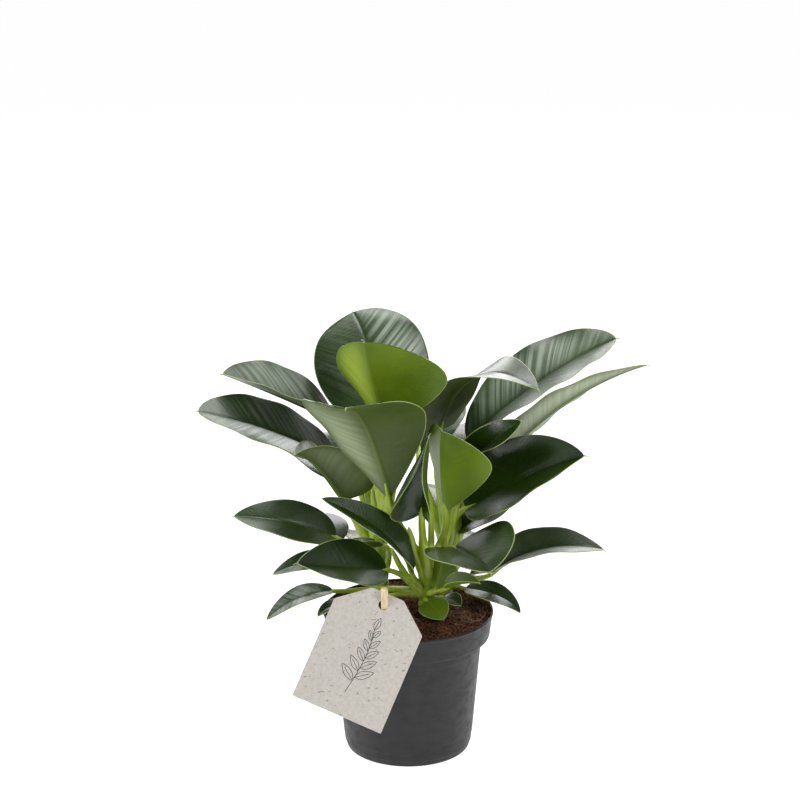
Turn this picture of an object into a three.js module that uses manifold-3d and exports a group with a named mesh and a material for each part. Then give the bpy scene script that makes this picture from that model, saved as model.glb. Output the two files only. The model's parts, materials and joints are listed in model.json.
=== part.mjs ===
// A green-leaved philodendron grown in a plain 12 cm nursery pot, with a blank card tag on a wooden peg.
// Millimetres, +Z up. The origin is the middle of the pot's underside, and the plant is seen from -Y.
import * as THREE from "three";
import { mergeVertices } from "three/addons/utils/BufferGeometryUtils.js";
import Module from "manifold-3d";

const wasm = await Module();
wasm.setup();

// Clearance kept between neighbouring pieces.
const GAP = 0.3;

// How far a joined surface may move when its smallest triangles are merged.
const SLACK = 0.06;

// Nursery pot: a thin tapered cup under a deep rim band.
const POT_HEIGHT = 101;
const RIM_RADIUS = 60;
const RIM_FOOT_RADIUS = 57.5;
const RIM_DEPTH = 17.5;
const RIM_FOOT = POT_HEIGHT - RIM_DEPTH;
const BODY_TOP_RADIUS = 52;
const BASE_RADIUS = 44.5;
const FOOT_RING_HEIGHT = 4;
const FOOT_RING_STEP = 0.6;
const FOOT_RING_TOP = 4.4;
const RIM_STEP = 3;
const RIM_UNDERCUT = 0.8;
const RIM_LIP = 1.6;
const POT_WALL = 1.5;
const POT_FLOOR = 2;
const POT_SIDES = 36;
const DRAIN_COUNT = 8;
const DRAIN_RADIUS = 3.2;
const DRAIN_CIRCLE = 33;
const DRAIN_SIDES = 8;

// Potting soil: it fills the pot to the rim and is mounded at the stems.
const SOIL_EDGE_HEIGHT = 98.5;
const SOIL_CROWN_RISE = 7.5;
const SOIL_LUMP = 1.1;
const SOIL_SIDES = 30;
const SOIL_RINGS = [0.16, 0.34, 0.52, 0.7, 0.86, 1];

// Three short rooted stems. Each leans a little and is buried to STEM_BURIED above the pot's underside.
const STEM_BURIED = 78;
const STEM_SIDES = 10;
const STEM_STEPS = 2;
const STEMS = {
  front: { foot: [11, -3], top: [14, -6, 136], radius: [6.4, 4.6] },
  right: { foot: [25, 19], top: [29, 17, 150], radius: [5.8, 4.0] },
  left: { foot: [-17, 15], top: [-20, 13, 152], radius: [5.8, 4.0] },
};

// Blades and leaf stalks.
const BLADE_MIDDLE = 1.1;
const BLADE_EDGE = 0.7;
const TIP_HALF_WIDTH = 0.55;
const STALK_SIDES = 6;
const STALK_STEPS = 5;
const STALK_FLARE = 1.5;
const STALK_FLARE_LENGTH = 1 / 3;
const STALK_LEAN = 0.55;
const STALK_CLIMB = 0.25;
const STALK_RUN_ON = 0.07;
const STALK_END_TAPER = 0.55;
const BIG_BLADE = { rows: 8, columns: [-1, -0.66, -0.33, 0, 0.33, 0.66, 1] };
const SMALL_BLADE = { rows: 7, columns: [-1, -0.55, 0, 0.55, 1] };
const BIG_BLADE_WIDTH = 74;

// Outlines: the powers of t and 1 - t that set a blade's half width along its midrib.
const OVATE = [0.5, 0.8];
const BROAD = [0.5, 0.45];
const OVAL = [0.55, 0.6];
const LONG = [0.65, 0.6];
const HEART = [0.4, 0.8];
const KITE = [0.9, 0.75];
const FAN = [1, 0.36];

// Every leaf: the stem and height it grows from, its stalk's radii, the blade's base and tip, the way its
// upper side faces, its width, and in degrees or millimetres how the midrib bows and sways, how the halves
// fold up, curl at the left and right, turn from base to tip and sweep back.
const LEAF_DEFAULTS = {
  stalk: [3.5, 2.2], bow: [8, 8], sway: [0, 0], fold: [20, 10], curl: [0, 0], twist: [0, 0],
  sweep: [0, 0], outline: OVATE, young: false,
};

const LEAVES = {
  leaf_01: { stem: "left", rise: 146, base: [-20, 32, 224], tip: [-41, 80, 299], face: [12, -85, 50],
    width: 81, bow: [4, 14], sway: [6, 6], fold: [4, 2], curl: [-10, -10], outline: BROAD },
  leaf_02: { stem: "left", rise: 150, base: [-14, 2, 234], tip: [-31, -8, 301], face: [55, 83, 10],
    width: 100, bow: [-4, -2], fold: [30, 26], sweep: [0.35, 0.2], outline: FAN, young: true },
  leaf_03: { stem: "front", rise: 132, base: [-13, -14, 187], tip: [-42, -64, 267], face: [-2, 80, 50],
    width: 84, bow: [26, 32], fold: [2, -6], curl: [0, 55], sweep: [0.33, 0.22], outline: FAN },
  leaf_04: { stem: "left", rise: 134, base: [-53, 74, 217], tip: [-136, 60, 257], face: [-5, -10, 90],
    width: 62, bow: [2, 2], fold: [24, 24], sweep: [0, -0.25] },
  leaf_05: { stem: "left", rise: 138, base: [-50, 66, 188], tip: [-152, 36, 236], face: [30, -25, 75],
    width: 56, bow: [8, 8], fold: [12, 14], outline: OVAL },
  leaf_06: { stem: "left", rise: 126, base: [-46, 27, 172], tip: [-81, 2, 215], face: [78, 115, 95],
    width: 58, bow: [4, 10], fold: [56, 50], sweep: [0.45, 0], outline: HEART },
  leaf_07: { stem: "front", rise: 128, base: [9, -23, 180], tip: [13, -36, 241], face: [-65, -65, -5],
    width: 48, bow: [2, -4], fold: [0, 60], curl: [100, 20], twist: [-10, 0], sweep: [0.8, 0.2], outline: OVATE },
  leaf_08: { stem: "right", rise: 146, base: [22, 40, 221], tip: [90, -22, 266], face: [-45, 35, 80],
    width: 64, bow: [33, 35], fold: [0, 14], twist: [0, 5], sweep: [0.25, 0.3], outline: HEART },
  leaf_09: { stem: "right", rise: 144, base: [42, 38, 214], tip: [152, 66, 282], face: [-60, -35, 75],
    width: 66, bow: [6, 2], sway: [-2, -12], fold: [24, 14], outline: LONG },
  leaf_10: { stem: "right", rise: 138, base: [69, 42, 201], tip: [166, 0, 280], face: [-40, 45, 75],
    width: 56, bow: [12, 12], fold: [10, 10] },
  leaf_11: { stem: "right", rise: 132, base: [38, 16, 201], tip: [78, -14, 244], face: [-70, -30, 30],
    width: 26, bow: [2, 2], fold: [80, -5], outline: OVATE },
  leaf_12: { stem: "front", rise: 124, base: [40, 12, 171], tip: [125, -4, 216], face: [-30, -45, 75],
    width: 64, bow: [3, 6], sway: [0, -4], fold: [18, 28] },
  leaf_13: { stem: "front", rise: 134, base: [26, -8, 176], tip: [23, -14, 240], face: [82, 57, 10],
    width: 78, bow: [0, 0], sway: [4, 4], fold: [25, 22], sweep: [-0.15, 0], outline: KITE, young: true },
  leaf_14: { stem: "right", rise: 122, base: [35, 16, 152], tip: [77, 20, 175], face: [-20, -20, 90],
    width: 36, bow: [4, 4], fold: [20, 0], stalk: [2.6, 1.7] },
  leaf_15: { stem: "front", rise: 113, base: [19, -15, 121], tip: [24, -18, 147], face: [30, 85, -10],
    width: 24, bow: [2, 2], fold: [30, 20], outline: OVAL, stalk: [2.2, 1.5], young: true },
  leaf_16: { stem: "left", rise: 120, base: [-51, 14, 149], tip: [-124, 0, 170], face: [-5, -50, 80],
    width: 35, bow: [9, 7], fold: [14, 10], stalk: [2.6, 1.7] },
  leaf_17: { stem: "front", rise: 112, base: [2, -14, 134], tip: [-60, -42, 198], face: [60, -40, 60],
    width: 27, bow: [16, 12], fold: [36, 16], stalk: [2.6, 1.7] },
  leaf_18: { stem: "left", rise: 112, base: [-18, 3, 147], tip: [-61, -10, 137], face: [-5, 20, 90],
    width: 28, bow: [4, 10], fold: [24, 14], stalk: [2.4, 1.6] },
  leaf_19: { stem: "front", rise: 111, base: [-15, -16, 136], tip: [-78, -50, 154], face: [-10, -60, 70],
    width: 39, bow: [0, 0], fold: [16, 30], stalk: [2.6, 1.7] },
  leaf_20: { stem: "left", rise: 110, base: [-46, 6, 134], tip: [-96, 0, 126], face: [-10, -30, 80],
    width: 20, bow: [7, 7], fold: [16, 10], stalk: [2.2, 1.5] },
  leaf_21: { stem: "front", rise: 113, base: [-52, -20, 122], tip: [-98, -40, 108], face: [-10, -20, 80],
    width: 20, bow: [9, 8], fold: [16, 10], stalk: [2.2, 1.5] },
  leaf_22: { stem: "front", rise: 112, base: [-42, -25, 115], tip: [-63, -36, 109], face: [-10, -10, 90],
    width: 14, bow: [4, 4], fold: [10, 10], stalk: [1.8, 1.2] },
  leaf_23: { stem: "right", rise: 113, base: [60, 10, 124], tip: [140, 0, 144], face: [-10, -12, 90],
    width: 44, bow: [16, 14], fold: [24, 10], stalk: [2.6, 1.7] },
  leaf_24: { stem: "front", rise: 118, base: [32, -6, 149], tip: [57, -58, 148], face: [-26, -12, 92],
    width: 66, bow: [2, 6], fold: [29, 24], sweep: [-0.5, -0.1], outline: OVATE, stalk: [2.6, 1.7] },
  leaf_25: { stem: "right", rise: 111, base: [40, -2, 117], tip: [79, -16, 103], face: [0, -20, 90],
    width: 22, bow: [6, 10], fold: [10, 10], stalk: [2.0, 1.4] },
  leaf_26: { stem: "front", rise: 113, base: [26, -25, 126], tip: [50, -34, 133], face: [-10, -30, 90],
    width: 16, bow: [3, 3], fold: [50, 50], stalk: [2.0, 1.5], young: true },
  leaf_27: { stem: "right", rise: 112, base: [43, -3, 127], tip: [61, -10, 132], face: [-10, -20, 90],
    width: 12, bow: [4, 4], fold: [16, 10], stalk: [1.8, 1.3] },
  leaf_28: { stem: "front", rise: 110, base: [13, -16, 113], tip: [25, -34, 105], face: [0, -50, 80],
    width: 20, bow: [3, 3], fold: [0, 0], stalk: [1.8, 1.3], young: true },
  leaf_29: { stem: "front", rise: 109, base: [25, -9, 113], tip: [37, -19, 110], face: [10, -30, 90],
    width: 14, bow: [2, 2], fold: [10, 10], stalk: [1.8, 1.2] },
  leaf_30: { stem: "left", rise: 140, base: [-26, 62, 226], tip: [-40, 152, 256], face: [0, -20, 90],
    width: 70, bow: [14, 12], fold: [20, 12] },
  leaf_31: { stem: "right", rise: 136, base: [8, 60, 196], tip: [16, 146, 214], face: [0, -15, 90],
    width: 64, bow: [14, 12], fold: [20, 12] },
  leaf_32: { stem: "right", rise: 132, base: [46, 62, 184], tip: [80, 138, 192], face: [-20, -20, 90],
    width: 58, bow: [12, 12], fold: [20, 12] },
  leaf_33: { stem: "left", rise: 130, base: [-52, 54, 178], tip: [-98, 116, 188], face: [20, -20, 90],
    width: 56, bow: [12, 12], fold: [20, 12] },
  leaf_34: { stem: "left", rise: 116, base: [-50, 46, 134], tip: [-96, 98, 120], face: [10, -10, 90],
    width: 44, bow: [12, 12], fold: [16, 10], stalk: [2.6, 1.7] },
  leaf_35: { stem: "left", rise: 114, base: [-26, 52, 126], tip: [-38, 120, 106], face: [0, -5, 90],
    width: 42, bow: [14, 14], fold: [16, 10], stalk: [2.6, 1.7] },
  leaf_36: { stem: "right", rise: 115, base: [44, 50, 124], tip: [76, 106, 102], face: [-10, -5, 90],
    width: 44, bow: [14, 14], fold: [16, 10], stalk: [2.6, 1.7] },
  leaf_37: { stem: "right", rise: 122, base: [24, 56, 152], tip: [30, 130, 144], face: [0, -5, 90],
    width: 48, bow: [12, 12], fold: [16, 10], stalk: [2.8, 1.8] },
};

// Direction of a vector given as three numbers.
function direction(x, y, z) {
  return new THREE.Vector3(x, y, z).normalize();
}

// A cubic curve through two control points.
function cubic(start, first, second, end) {
  return new THREE.CubicBezierCurve3(start, first, second, end);
}

// The midrib of a leaf and the way its upper side faces at the middle of the chord.
function midribOf(leaf) {
  const base = new THREE.Vector3(...leaf.base);
  const tip = new THREE.Vector3(...leaf.tip);
  const chord = tip.clone().sub(base);
  const along = chord.clone().normalize();
  const face = direction(...leaf.face);
  const up = face.addScaledVector(along, -face.dot(along)).normalize();
  const side = along.clone().cross(up);
  const control = (part, bow, sway) =>
    base.clone().addScaledVector(chord, part).addScaledVector(up, bow).addScaledVector(side, sway);
  const curve = cubic(base, control(1 / 3, leaf.bow[0], leaf.sway[0]),
    control(2 / 3, leaf.bow[1], leaf.sway[1]), tip);
  return { curve, along, up };
}

// Half the blade's width at t, from 0 at the base to 1 at the tip.
function halfWidth(leaf, t) {
  const [rise, fall] = leaf.outline;
  const widest = rise / (rise + fall);
  const peak = widest ** rise * (1 - widest) ** fall;
  return (leaf.width / 2) * (t ** rise * (1 - t) ** fall) / peak + TIP_HALF_WIDTH;
}

// One cross-section of the blade: a point and an upward normal for each column.
function bladeRow(leaf, midrib, t, columns) {
  const centre = midrib.curve.getPoint(t);
  const along = midrib.curve.getTangent(t);
  const turn = THREE.MathUtils.degToRad(THREE.MathUtils.lerp(...leaf.twist, t));
  const up = midrib.up.clone().applyAxisAngle(midrib.along, turn);
  up.addScaledVector(along, -up.dot(along)).normalize();
  const side = along.clone().cross(up);
  const half = halfWidth(leaf, t);
  const fold = THREE.MathUtils.degToRad(THREE.MathUtils.lerp(...leaf.fold, t));
  return columns.map((column) => {
    const hand = column < 0 ? 0 : 1;
    const sign = column < 0 ? -1 : 1;
    const reach = Math.abs(column);
    const bend = THREE.MathUtils.degToRad(leaf.curl[hand]) + 1e-6;
    const across = (half * (Math.sin(fold + bend * reach) - Math.sin(fold))) / bend;
    const lift = (half * (Math.cos(fold) - Math.cos(fold + bend * reach))) / bend;
    const back = half * leaf.sweep[hand] * reach ** 2;
    const point = centre.clone().addScaledVector(side, sign * across).addScaledVector(up, lift);
    point.addScaledVector(along, -back);
    const slope = column === 0 ? 0 : fold + bend * reach;
    const normal = up.clone().multiplyScalar(Math.cos(slope)).addScaledVector(side, -sign * Math.sin(slope));
    return { point, normal, reach };
  });
}

// Closed mesh from vertices and triangles.
function solidMesh(vertices, triangles) {
  const geometry = new THREE.BufferGeometry();
  geometry.setAttribute("position", new THREE.Float32BufferAttribute(vertices.flatMap((v) => v.toArray()), 3));
  geometry.setIndex(triangles.flat());
  return geometry;
}

// The blade: the same grid of triangles on both faces, joined round the margin.
function bladeGeometry(leaf) {
  const { rows, columns } = leaf.width >= BIG_BLADE_WIDTH ? BIG_BLADE : SMALL_BLADE;
  const midrib = midribOf(leaf);
  const top = [];
  const bottom = [];
  for (let row = 0; row <= rows; row += 1) {
    const t = 0.5 - 0.5 * Math.cos((Math.PI * row) / rows);
    for (const { point, normal, reach } of bladeRow(leaf, midrib, t, columns)) {
      const half = THREE.MathUtils.lerp(BLADE_MIDDLE, BLADE_EDGE, reach) / 2;
      top.push(point.clone().addScaledVector(normal, half));
      bottom.push(point.clone().addScaledVector(normal, -half));
    }
  }
  const across = columns.length;
  const under = top.length;
  const triangles = [];
  const quad = (a, b, c, d) => triangles.push([a, b, c], [a, c, d]);
  for (let row = 0; row < rows; row += 1) {
    for (let column = 0; column < across - 1; column += 1) {
      const a = row * across + column;
      quad(a, a + 1, a + across + 1, a + across);
      triangles.push([under + a, under + a + across + 1, under + a + 1]);
      triangles.push([under + a, under + a + across, under + a + across + 1]);
    }
    const left = row * across;
    const right = left + across - 1;
    quad(left, left + across, under + left + across, under + left);
    quad(right + across, right, under + right, under + right + across);
  }
  const last = rows * across;
  for (let column = 0; column < across - 1; column += 1) {
    quad(column + 1, column, under + column, under + column + 1);
    quad(last + column, last + column + 1, under + last + column + 1, under + last + column);
  }
  return solidMesh([...top, ...bottom], triangles);
}

// Round bar along a curve, with a radius for every step and both ends closed.
function roundBar(points, radii, sides) {
  const path = new THREE.CatmullRomCurve3(points);
  const vertices = [];
  const triangles = [];
  let across = direction(1, 0.3, 0.1);
  points.forEach((point, step) => {
    const along = path.getTangent(step / (points.length - 1));
    across = across.clone().addScaledVector(along, -across.dot(along)).normalize();
    const other = along.clone().cross(across);
    for (let side = 0; side < sides; side += 1) {
      const angle = (2 * Math.PI * side) / sides;
      vertices.push(point.clone().addScaledVector(across, radii[step] * Math.cos(angle))
        .addScaledVector(other, radii[step] * Math.sin(angle)));
    }
  });
  for (let step = 0; step < points.length - 1; step += 1) {
    for (let side = 0; side < sides; side += 1) {
      const a = step * sides + side;
      const b = step * sides + ((side + 1) % sides);
      triangles.push([a, b, b + sides], [a, b + sides, a + sides]);
    }
  }
  const end = (points.length - 1) * sides;
  for (let side = 1; side < sides - 1; side += 1) {
    triangles.push([0, side + 1, side], [end, end + side, end + side + 1]);
  }
  return solidMesh(vertices, triangles);
}

// Where a stem's middle lies at a height.
function stemPoint(stem, height) {
  const foot = new THREE.Vector3(...stem.foot, STEM_BURIED);
  const top = new THREE.Vector3(...stem.top);
  return foot.lerp(top, (height - STEM_BURIED) / (top.z - STEM_BURIED));
}

// The leaf stalk: it leaves the stem upwards and outwards and runs on into the midrib.
function stalkRoute(leaf) {
  const midrib = midribOf(leaf);
  const start = stemPoint(STEMS[leaf.stem], leaf.rise);
  const base = midrib.curve.getPoint(0);
  const reach = base.distanceTo(start);
  const outward = base.clone().sub(start).setZ(0).normalize();
  const climb = Math.max(STALK_CLIMB, (base.z - start.z) / reach);
  const leave = outward.multiplyScalar(STALK_LEAN).add(new THREE.Vector3(0, 0, climb)).normalize();
  const run = cubic(start, start.clone().addScaledVector(leave, reach * 0.4),
    base.clone().addScaledVector(midrib.curve.getTangent(0), -reach * 0.3), base);
  const points = run.getPoints(STALK_STEPS);
  points.push(midrib.curve.getPoint(STALK_RUN_ON));
  return points;
}

// Stalk geometry, with extra added to its radius when it is used as a cutter.
function stalkGeometry(leaf, extra = 0) {
  const points = stalkRoute(leaf);
  const [thick, thin] = leaf.stalk;
  const radii = points.map((_, step) => {
    const t = Math.min(1, step / STALK_STEPS);
    const flare = STALK_FLARE * Math.max(0, 1 - t / STALK_FLARE_LENGTH);
    return THREE.MathUtils.lerp(thick, thin, t) + flare + extra;
  });
  radii[radii.length - 1] = thin * STALK_END_TAPER + extra;
  return roundBar(points, radii, STALK_SIDES);
}

// Turns a closed geometry into a solid, and back.
function toSolid(geometry) {
  const plain = geometry.clone();
  plain.deleteAttribute("normal");
  plain.deleteAttribute("uv");
  const merged = mergeVertices(plain, 1e-4);
  return new wasm.Manifold(new wasm.Mesh({
    numProp: 3,
    vertProperties: new Float32Array(merged.attributes.position.array),
    triVerts: new Uint32Array(merged.index.array),
  }));
}

function toGeometry(solid) {
  const mesh = solid.getMesh();
  const geometry = new THREE.BufferGeometry();
  geometry.setAttribute("position", new THREE.BufferAttribute(new Float32Array(mesh.vertProperties), 3));
  geometry.setIndex(new THREE.BufferAttribute(new Uint32Array(mesh.triVerts), 1));
  geometry.computeVertexNormals();
  return geometry;
}

// The largest loose piece of a solid.
function largest(solid) {
  return solid.decompose().reduce((best, piece) => (piece.volume() > best.volume() ? piece : best));
}

// Stem solid, wider by extra when it is used as a cutter.
function stemSolid(stem, extra = 0) {
  const rise = stem.top[2] - STEM_BURIED;
  const parts = Array.from({ length: STEM_STEPS + 1 }, (_, step) => step / STEM_STEPS);
  const points = parts.map((part) => stemPoint(stem, STEM_BURIED + rise * part));
  const radii = parts.map((part) => THREE.MathUtils.lerp(...stem.radius, part) + extra);
  points[0].z -= extra;
  points[STEM_STEPS].z += extra;
  return toSolid(roundBar(points, radii, STEM_SIDES));
}

const GREEN = {
  stem: { color: 0x7f9c45, roughness: 0.55 },
  leaf: { color: 0x24482a, roughness: 0.35 },
  young: { color: 0x7ca82e, roughness: 0.45 },
};

const group = new THREE.Group();

// Adds a named mesh with a material of its own.
function place(name, geometry, look) {
  const mesh = new THREE.Mesh(geometry, new THREE.MeshStandardMaterial({ metalness: 0, ...look }));
  mesh.name = name;
  group.add(mesh);
}

// Pot: a turned shell with drain holes through its floor.
function potSolid() {
  const outer = [
    [BASE_RADIUS - FOOT_RING_STEP, 0],
    [BASE_RADIUS, FOOT_RING_HEIGHT],
    [BASE_RADIUS + FOOT_RING_STEP, FOOT_RING_TOP],
    [BODY_TOP_RADIUS, RIM_FOOT - RIM_STEP],
    [BODY_TOP_RADIUS + RIM_UNDERCUT, RIM_FOOT - RIM_UNDERCUT],
    [RIM_FOOT_RADIUS, RIM_FOOT],
    [RIM_RADIUS - RIM_LIP / 4, POT_HEIGHT - RIM_LIP],
    [RIM_RADIUS, POT_HEIGHT - RIM_LIP / 2],
    [RIM_RADIUS - RIM_LIP / 3, POT_HEIGHT],
  ];
  const inner = [
    [RIM_RADIUS - POT_WALL, POT_HEIGHT - RIM_LIP / 4],
    [RIM_FOOT_RADIUS - POT_WALL, RIM_FOOT + POT_WALL],
    [BODY_TOP_RADIUS - POT_WALL, RIM_FOOT - RIM_UNDERCUT],
    [BASE_RADIUS - POT_WALL, POT_FLOOR],
  ];
  const profile = [[0, 0], ...outer, ...inner, [0, POT_FLOOR]].map(([x, y]) => new THREE.Vector2(x, y));
  const shell = new THREE.LatheGeometry(profile, POT_SIDES).rotateX(Math.PI / 2);
  let solid = toSolid(shell);
  for (let hole = 0; hole < DRAIN_COUNT; hole += 1) {
    const angle = (2 * Math.PI * hole) / DRAIN_COUNT;
    const drill = new THREE.CylinderGeometry(DRAIN_RADIUS, DRAIN_RADIUS, POT_FLOOR * 4, DRAIN_SIDES);
    drill.rotateX(Math.PI / 2);
    drill.translate(DRAIN_CIRCLE * Math.cos(angle), DRAIN_CIRCLE * Math.sin(angle), 0);
    solid = solid.subtract(toSolid(drill));
  }
  return solid;
}

// Height of the soil's surface.
function soilHeight(radius, angle) {
  const spread = radius / RIM_RADIUS;
  const dome = SOIL_CROWN_RISE * (1 - spread ** 2);
  const lumps = Math.sin(3 * angle + 5 * spread) + Math.sin(5 * angle - 7 * spread + 1) * 0.7;
  return SOIL_EDGE_HEIGHT + dome + SOIL_LUMP * lumps * Math.min(1, spread * 2) * (1 - spread ** 6);
}

// Soil: one body from the pot's floor to the mounded surface.
function soilSolid() {
  const wall = [
    [BASE_RADIUS - POT_WALL - 2 * GAP, POT_FLOOR + GAP],
    [BODY_TOP_RADIUS - POT_WALL - 2 * GAP, RIM_FOOT],
    [RIM_FOOT_RADIUS - POT_WALL - 2 * GAP, RIM_FOOT + RIM_STEP],
    [RIM_RADIUS - POT_WALL - 3 * GAP, SOIL_EDGE_HEIGHT],
  ];
  const rings = wall.map(([radius, height]) => ({ radius, height: () => height }));
  const edge = wall[wall.length - 1][0];
  for (const part of SOIL_RINGS.slice(0, -1).reverse()) {
    rings.push({ radius: edge * part, height: (angle) => soilHeight(edge * part, angle) });
  }
  const vertices = [new THREE.Vector3(0, 0, POT_FLOOR + GAP)];
  for (const { radius, height } of rings) {
    for (let side = 0; side < SOIL_SIDES; side += 1) {
      const angle = (2 * Math.PI * side) / SOIL_SIDES;
      vertices.push(new THREE.Vector3(radius * Math.cos(angle), radius * Math.sin(angle), height(angle)));
    }
  }
  const crown = vertices.length;
  vertices.push(new THREE.Vector3(0, 0, soilHeight(0, 0)));
  const triangles = [];
  for (let side = 0; side < SOIL_SIDES; side += 1) {
    const next = (side + 1) % SOIL_SIDES;
    triangles.push([0, 1 + next, 1 + side]);
    for (let ring = 0; ring < rings.length - 1; ring += 1) {
      const a = 1 + ring * SOIL_SIDES;
      const b = a + SOIL_SIDES;
      triangles.push([a + side, a + next, b + next], [a + side, b + next, b + side]);
    }
    const last = 1 + (rings.length - 1) * SOIL_SIDES;
    triangles.push([last + side, last + next, crown]);
  }
  return toSolid(solidMesh(vertices, triangles));
}

// Card tag: a six-sided card that leans on the rim, hung by the hole near its top.
const TAG_WIDTH = 65;
const TAG_HEIGHT = 88;
const TAG_SHOULDER = 71;
const TAG_TOP_WIDTH = 23;
const TAG_THICKNESS = 0.8;
const TAG_HOLE_HEIGHT = 80;
const TAG_TURN = THREE.MathUtils.degToRad(23.3);
const TAG_LEAN = THREE.MathUtils.degToRad(23);
const TAG_HOLE_AT = [-17, -51, 124];

function tagGeometry() {
  const half = TAG_WIDTH / 2;
  const shoulder = TAG_SHOULDER - TAG_HOLE_HEIGHT;
  const top = TAG_HEIGHT - TAG_HOLE_HEIGHT;
  const outline = new THREE.Shape([
    new THREE.Vector2(-half, -TAG_HOLE_HEIGHT),
    new THREE.Vector2(half, -TAG_HOLE_HEIGHT),
    new THREE.Vector2(half, shoulder),
    new THREE.Vector2(TAG_TOP_WIDTH / 2, top),
    new THREE.Vector2(-TAG_TOP_WIDTH / 2, top),
    new THREE.Vector2(-half, shoulder),
  ]);
  const card = new THREE.ExtrudeGeometry(outline, { depth: TAG_THICKNESS, bevelEnabled: false });
  card.translate(0, 0, -TAG_THICKNESS / 2);
  card.rotateZ(-TAG_TURN).rotateX(Math.PI / 2 - TAG_LEAN);
  return card.translate(...TAG_HOLE_AT);
}

// Wooden peg: a flat stick that passes through the tag's hole into the soil.
const PEG_WIDTH = 5;
const PEG_THICKNESS = 2.6;
const PEG_POINT_LENGTH = 8;
const PEG_CHAMFER = 1.2;
const PEG_END_WIDTH = 0.5;
const PEG_TIP = [-16.4, -52.6, 137];
const PEG_FOOT = [-15.6, -44, 86];

function pegGeometry(extra = 0) {
  const tip = new THREE.Vector3(...PEG_TIP);
  const foot = new THREE.Vector3(...PEG_FOOT);
  const length = tip.distanceTo(foot);
  const half = PEG_WIDTH / 2 + extra;
  const end = half * PEG_END_WIDTH;
  const outline = new THREE.Shape([
    new THREE.Vector2(-end, -extra),
    new THREE.Vector2(end, -extra),
    new THREE.Vector2(half, PEG_POINT_LENGTH),
    new THREE.Vector2(half, length - PEG_CHAMFER),
    new THREE.Vector2(end, length + extra),
    new THREE.Vector2(-end, length + extra),
    new THREE.Vector2(-half, length - PEG_CHAMFER),
    new THREE.Vector2(-half, PEG_POINT_LENGTH),
  ]);
  const depth = PEG_THICKNESS + 2 * extra;
  const stick = new THREE.ExtrudeGeometry(outline, { depth, bevelEnabled: false }).translate(0, 0, -depth / 2);
  const up = tip.clone().sub(foot).normalize();
  const side = direction(1, 0, 0).addScaledVector(up, -up.x).normalize();
  const frame = new THREE.Matrix4().makeBasis(side, up, side.clone().cross(up));
  return stick.applyMatrix4(frame).translate(foot.x, foot.y, foot.z);
}

// The leaves: each blade joined to its stalk, cut clear of its stem and of the stalks already placed.
function leafSolids(stemCutters) {
  const placed = [];
  const solids = new Map();
  for (const [name, values] of Object.entries(LEAVES)) {
    const leaf = { ...LEAF_DEFAULTS, ...values };
    const stalk = toSolid(stalkGeometry(leaf));
    let solid = toSolid(bladeGeometry(leaf)).add(stalk);
    for (const cutter of stemCutters) {
      solid = solid.subtract(cutter);
    }
    for (const cutter of placed) {
      solid = solid.subtract(cutter);
    }
    solids.set(name, { solid: largest(solid).simplify(SLACK), young: leaf.young });
    placed.push(toSolid(stalkGeometry(leaf, GAP)));
  }
  return solids;
}

const stemCutters = Object.values(STEMS).map((stem) => stemSolid(stem, GAP));
let soil = soilSolid().subtract(toSolid(pegGeometry(GAP)));
stemCutters.forEach((cutter) => {
  soil = soil.subtract(cutter);
});
const tag = toSolid(tagGeometry()).subtract(toSolid(pegGeometry(GAP)));

place("pot", toGeometry(potSolid()), { color: 0x3a3a3c, roughness: 0.6 });
place("soil", toGeometry(soil), { color: 0x2e2019, roughness: 0.95 });
for (const [name, stem] of Object.entries(STEMS)) {
  place(`stem_${name}`, toGeometry(stemSolid(stem)), GREEN.stem);
}
place("tag", toGeometry(tag), { color: 0xd9d4ca, roughness: 0.9 });
place("peg", toGeometry(toSolid(pegGeometry())), { color: 0xe3cfa2, roughness: 0.7 });
for (const [name, { solid, young }] of leafSolids(stemCutters)) {
  place(name, toGeometry(solid), young ? GREEN.young : GREEN.leaf);
}

export default group;
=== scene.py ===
"""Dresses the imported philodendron: fine leaves, stems, soil, nursery pot, card tag and peg.

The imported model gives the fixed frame. Lengths in the tables are millimetres and angles are degrees;
every mesh is made in metres, in the model's own frame, with its object at the origin.
"""

import json
import logging
import math
import random
from collections.abc import Callable, Sequence
from dataclasses import dataclass, field
from enum import Enum

import bmesh
import bpy
import numpy as np
from mathutils import Euler, Matrix, Vector, noise

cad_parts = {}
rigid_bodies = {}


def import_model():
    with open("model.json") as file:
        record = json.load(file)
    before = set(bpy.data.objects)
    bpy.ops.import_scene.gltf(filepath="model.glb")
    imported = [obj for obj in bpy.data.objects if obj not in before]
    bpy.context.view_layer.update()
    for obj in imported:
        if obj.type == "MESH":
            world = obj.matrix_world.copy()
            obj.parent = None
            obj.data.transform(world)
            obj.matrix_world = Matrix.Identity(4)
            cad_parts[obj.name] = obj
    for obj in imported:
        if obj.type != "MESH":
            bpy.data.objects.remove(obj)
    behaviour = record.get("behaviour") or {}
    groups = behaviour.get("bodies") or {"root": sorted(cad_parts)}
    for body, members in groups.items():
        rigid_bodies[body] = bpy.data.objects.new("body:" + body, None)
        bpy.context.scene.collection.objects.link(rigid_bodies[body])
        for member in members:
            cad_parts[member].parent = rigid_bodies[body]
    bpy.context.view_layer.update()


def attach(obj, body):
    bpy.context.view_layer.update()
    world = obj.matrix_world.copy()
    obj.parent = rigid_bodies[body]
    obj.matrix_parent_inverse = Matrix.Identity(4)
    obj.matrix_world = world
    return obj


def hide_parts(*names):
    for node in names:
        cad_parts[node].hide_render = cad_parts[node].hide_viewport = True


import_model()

LOG = logging.getLogger("philodendron")
MM = 0.001
BODY = "root"
WIDTHWAYS = np.array([1.0, 0.0, 0.0])

Pair = tuple[float, float]
Triple = tuple[float, float, float]
Colour = tuple[float, float, float]
Socket = bpy.types.NodeSocket


# Meshes


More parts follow.
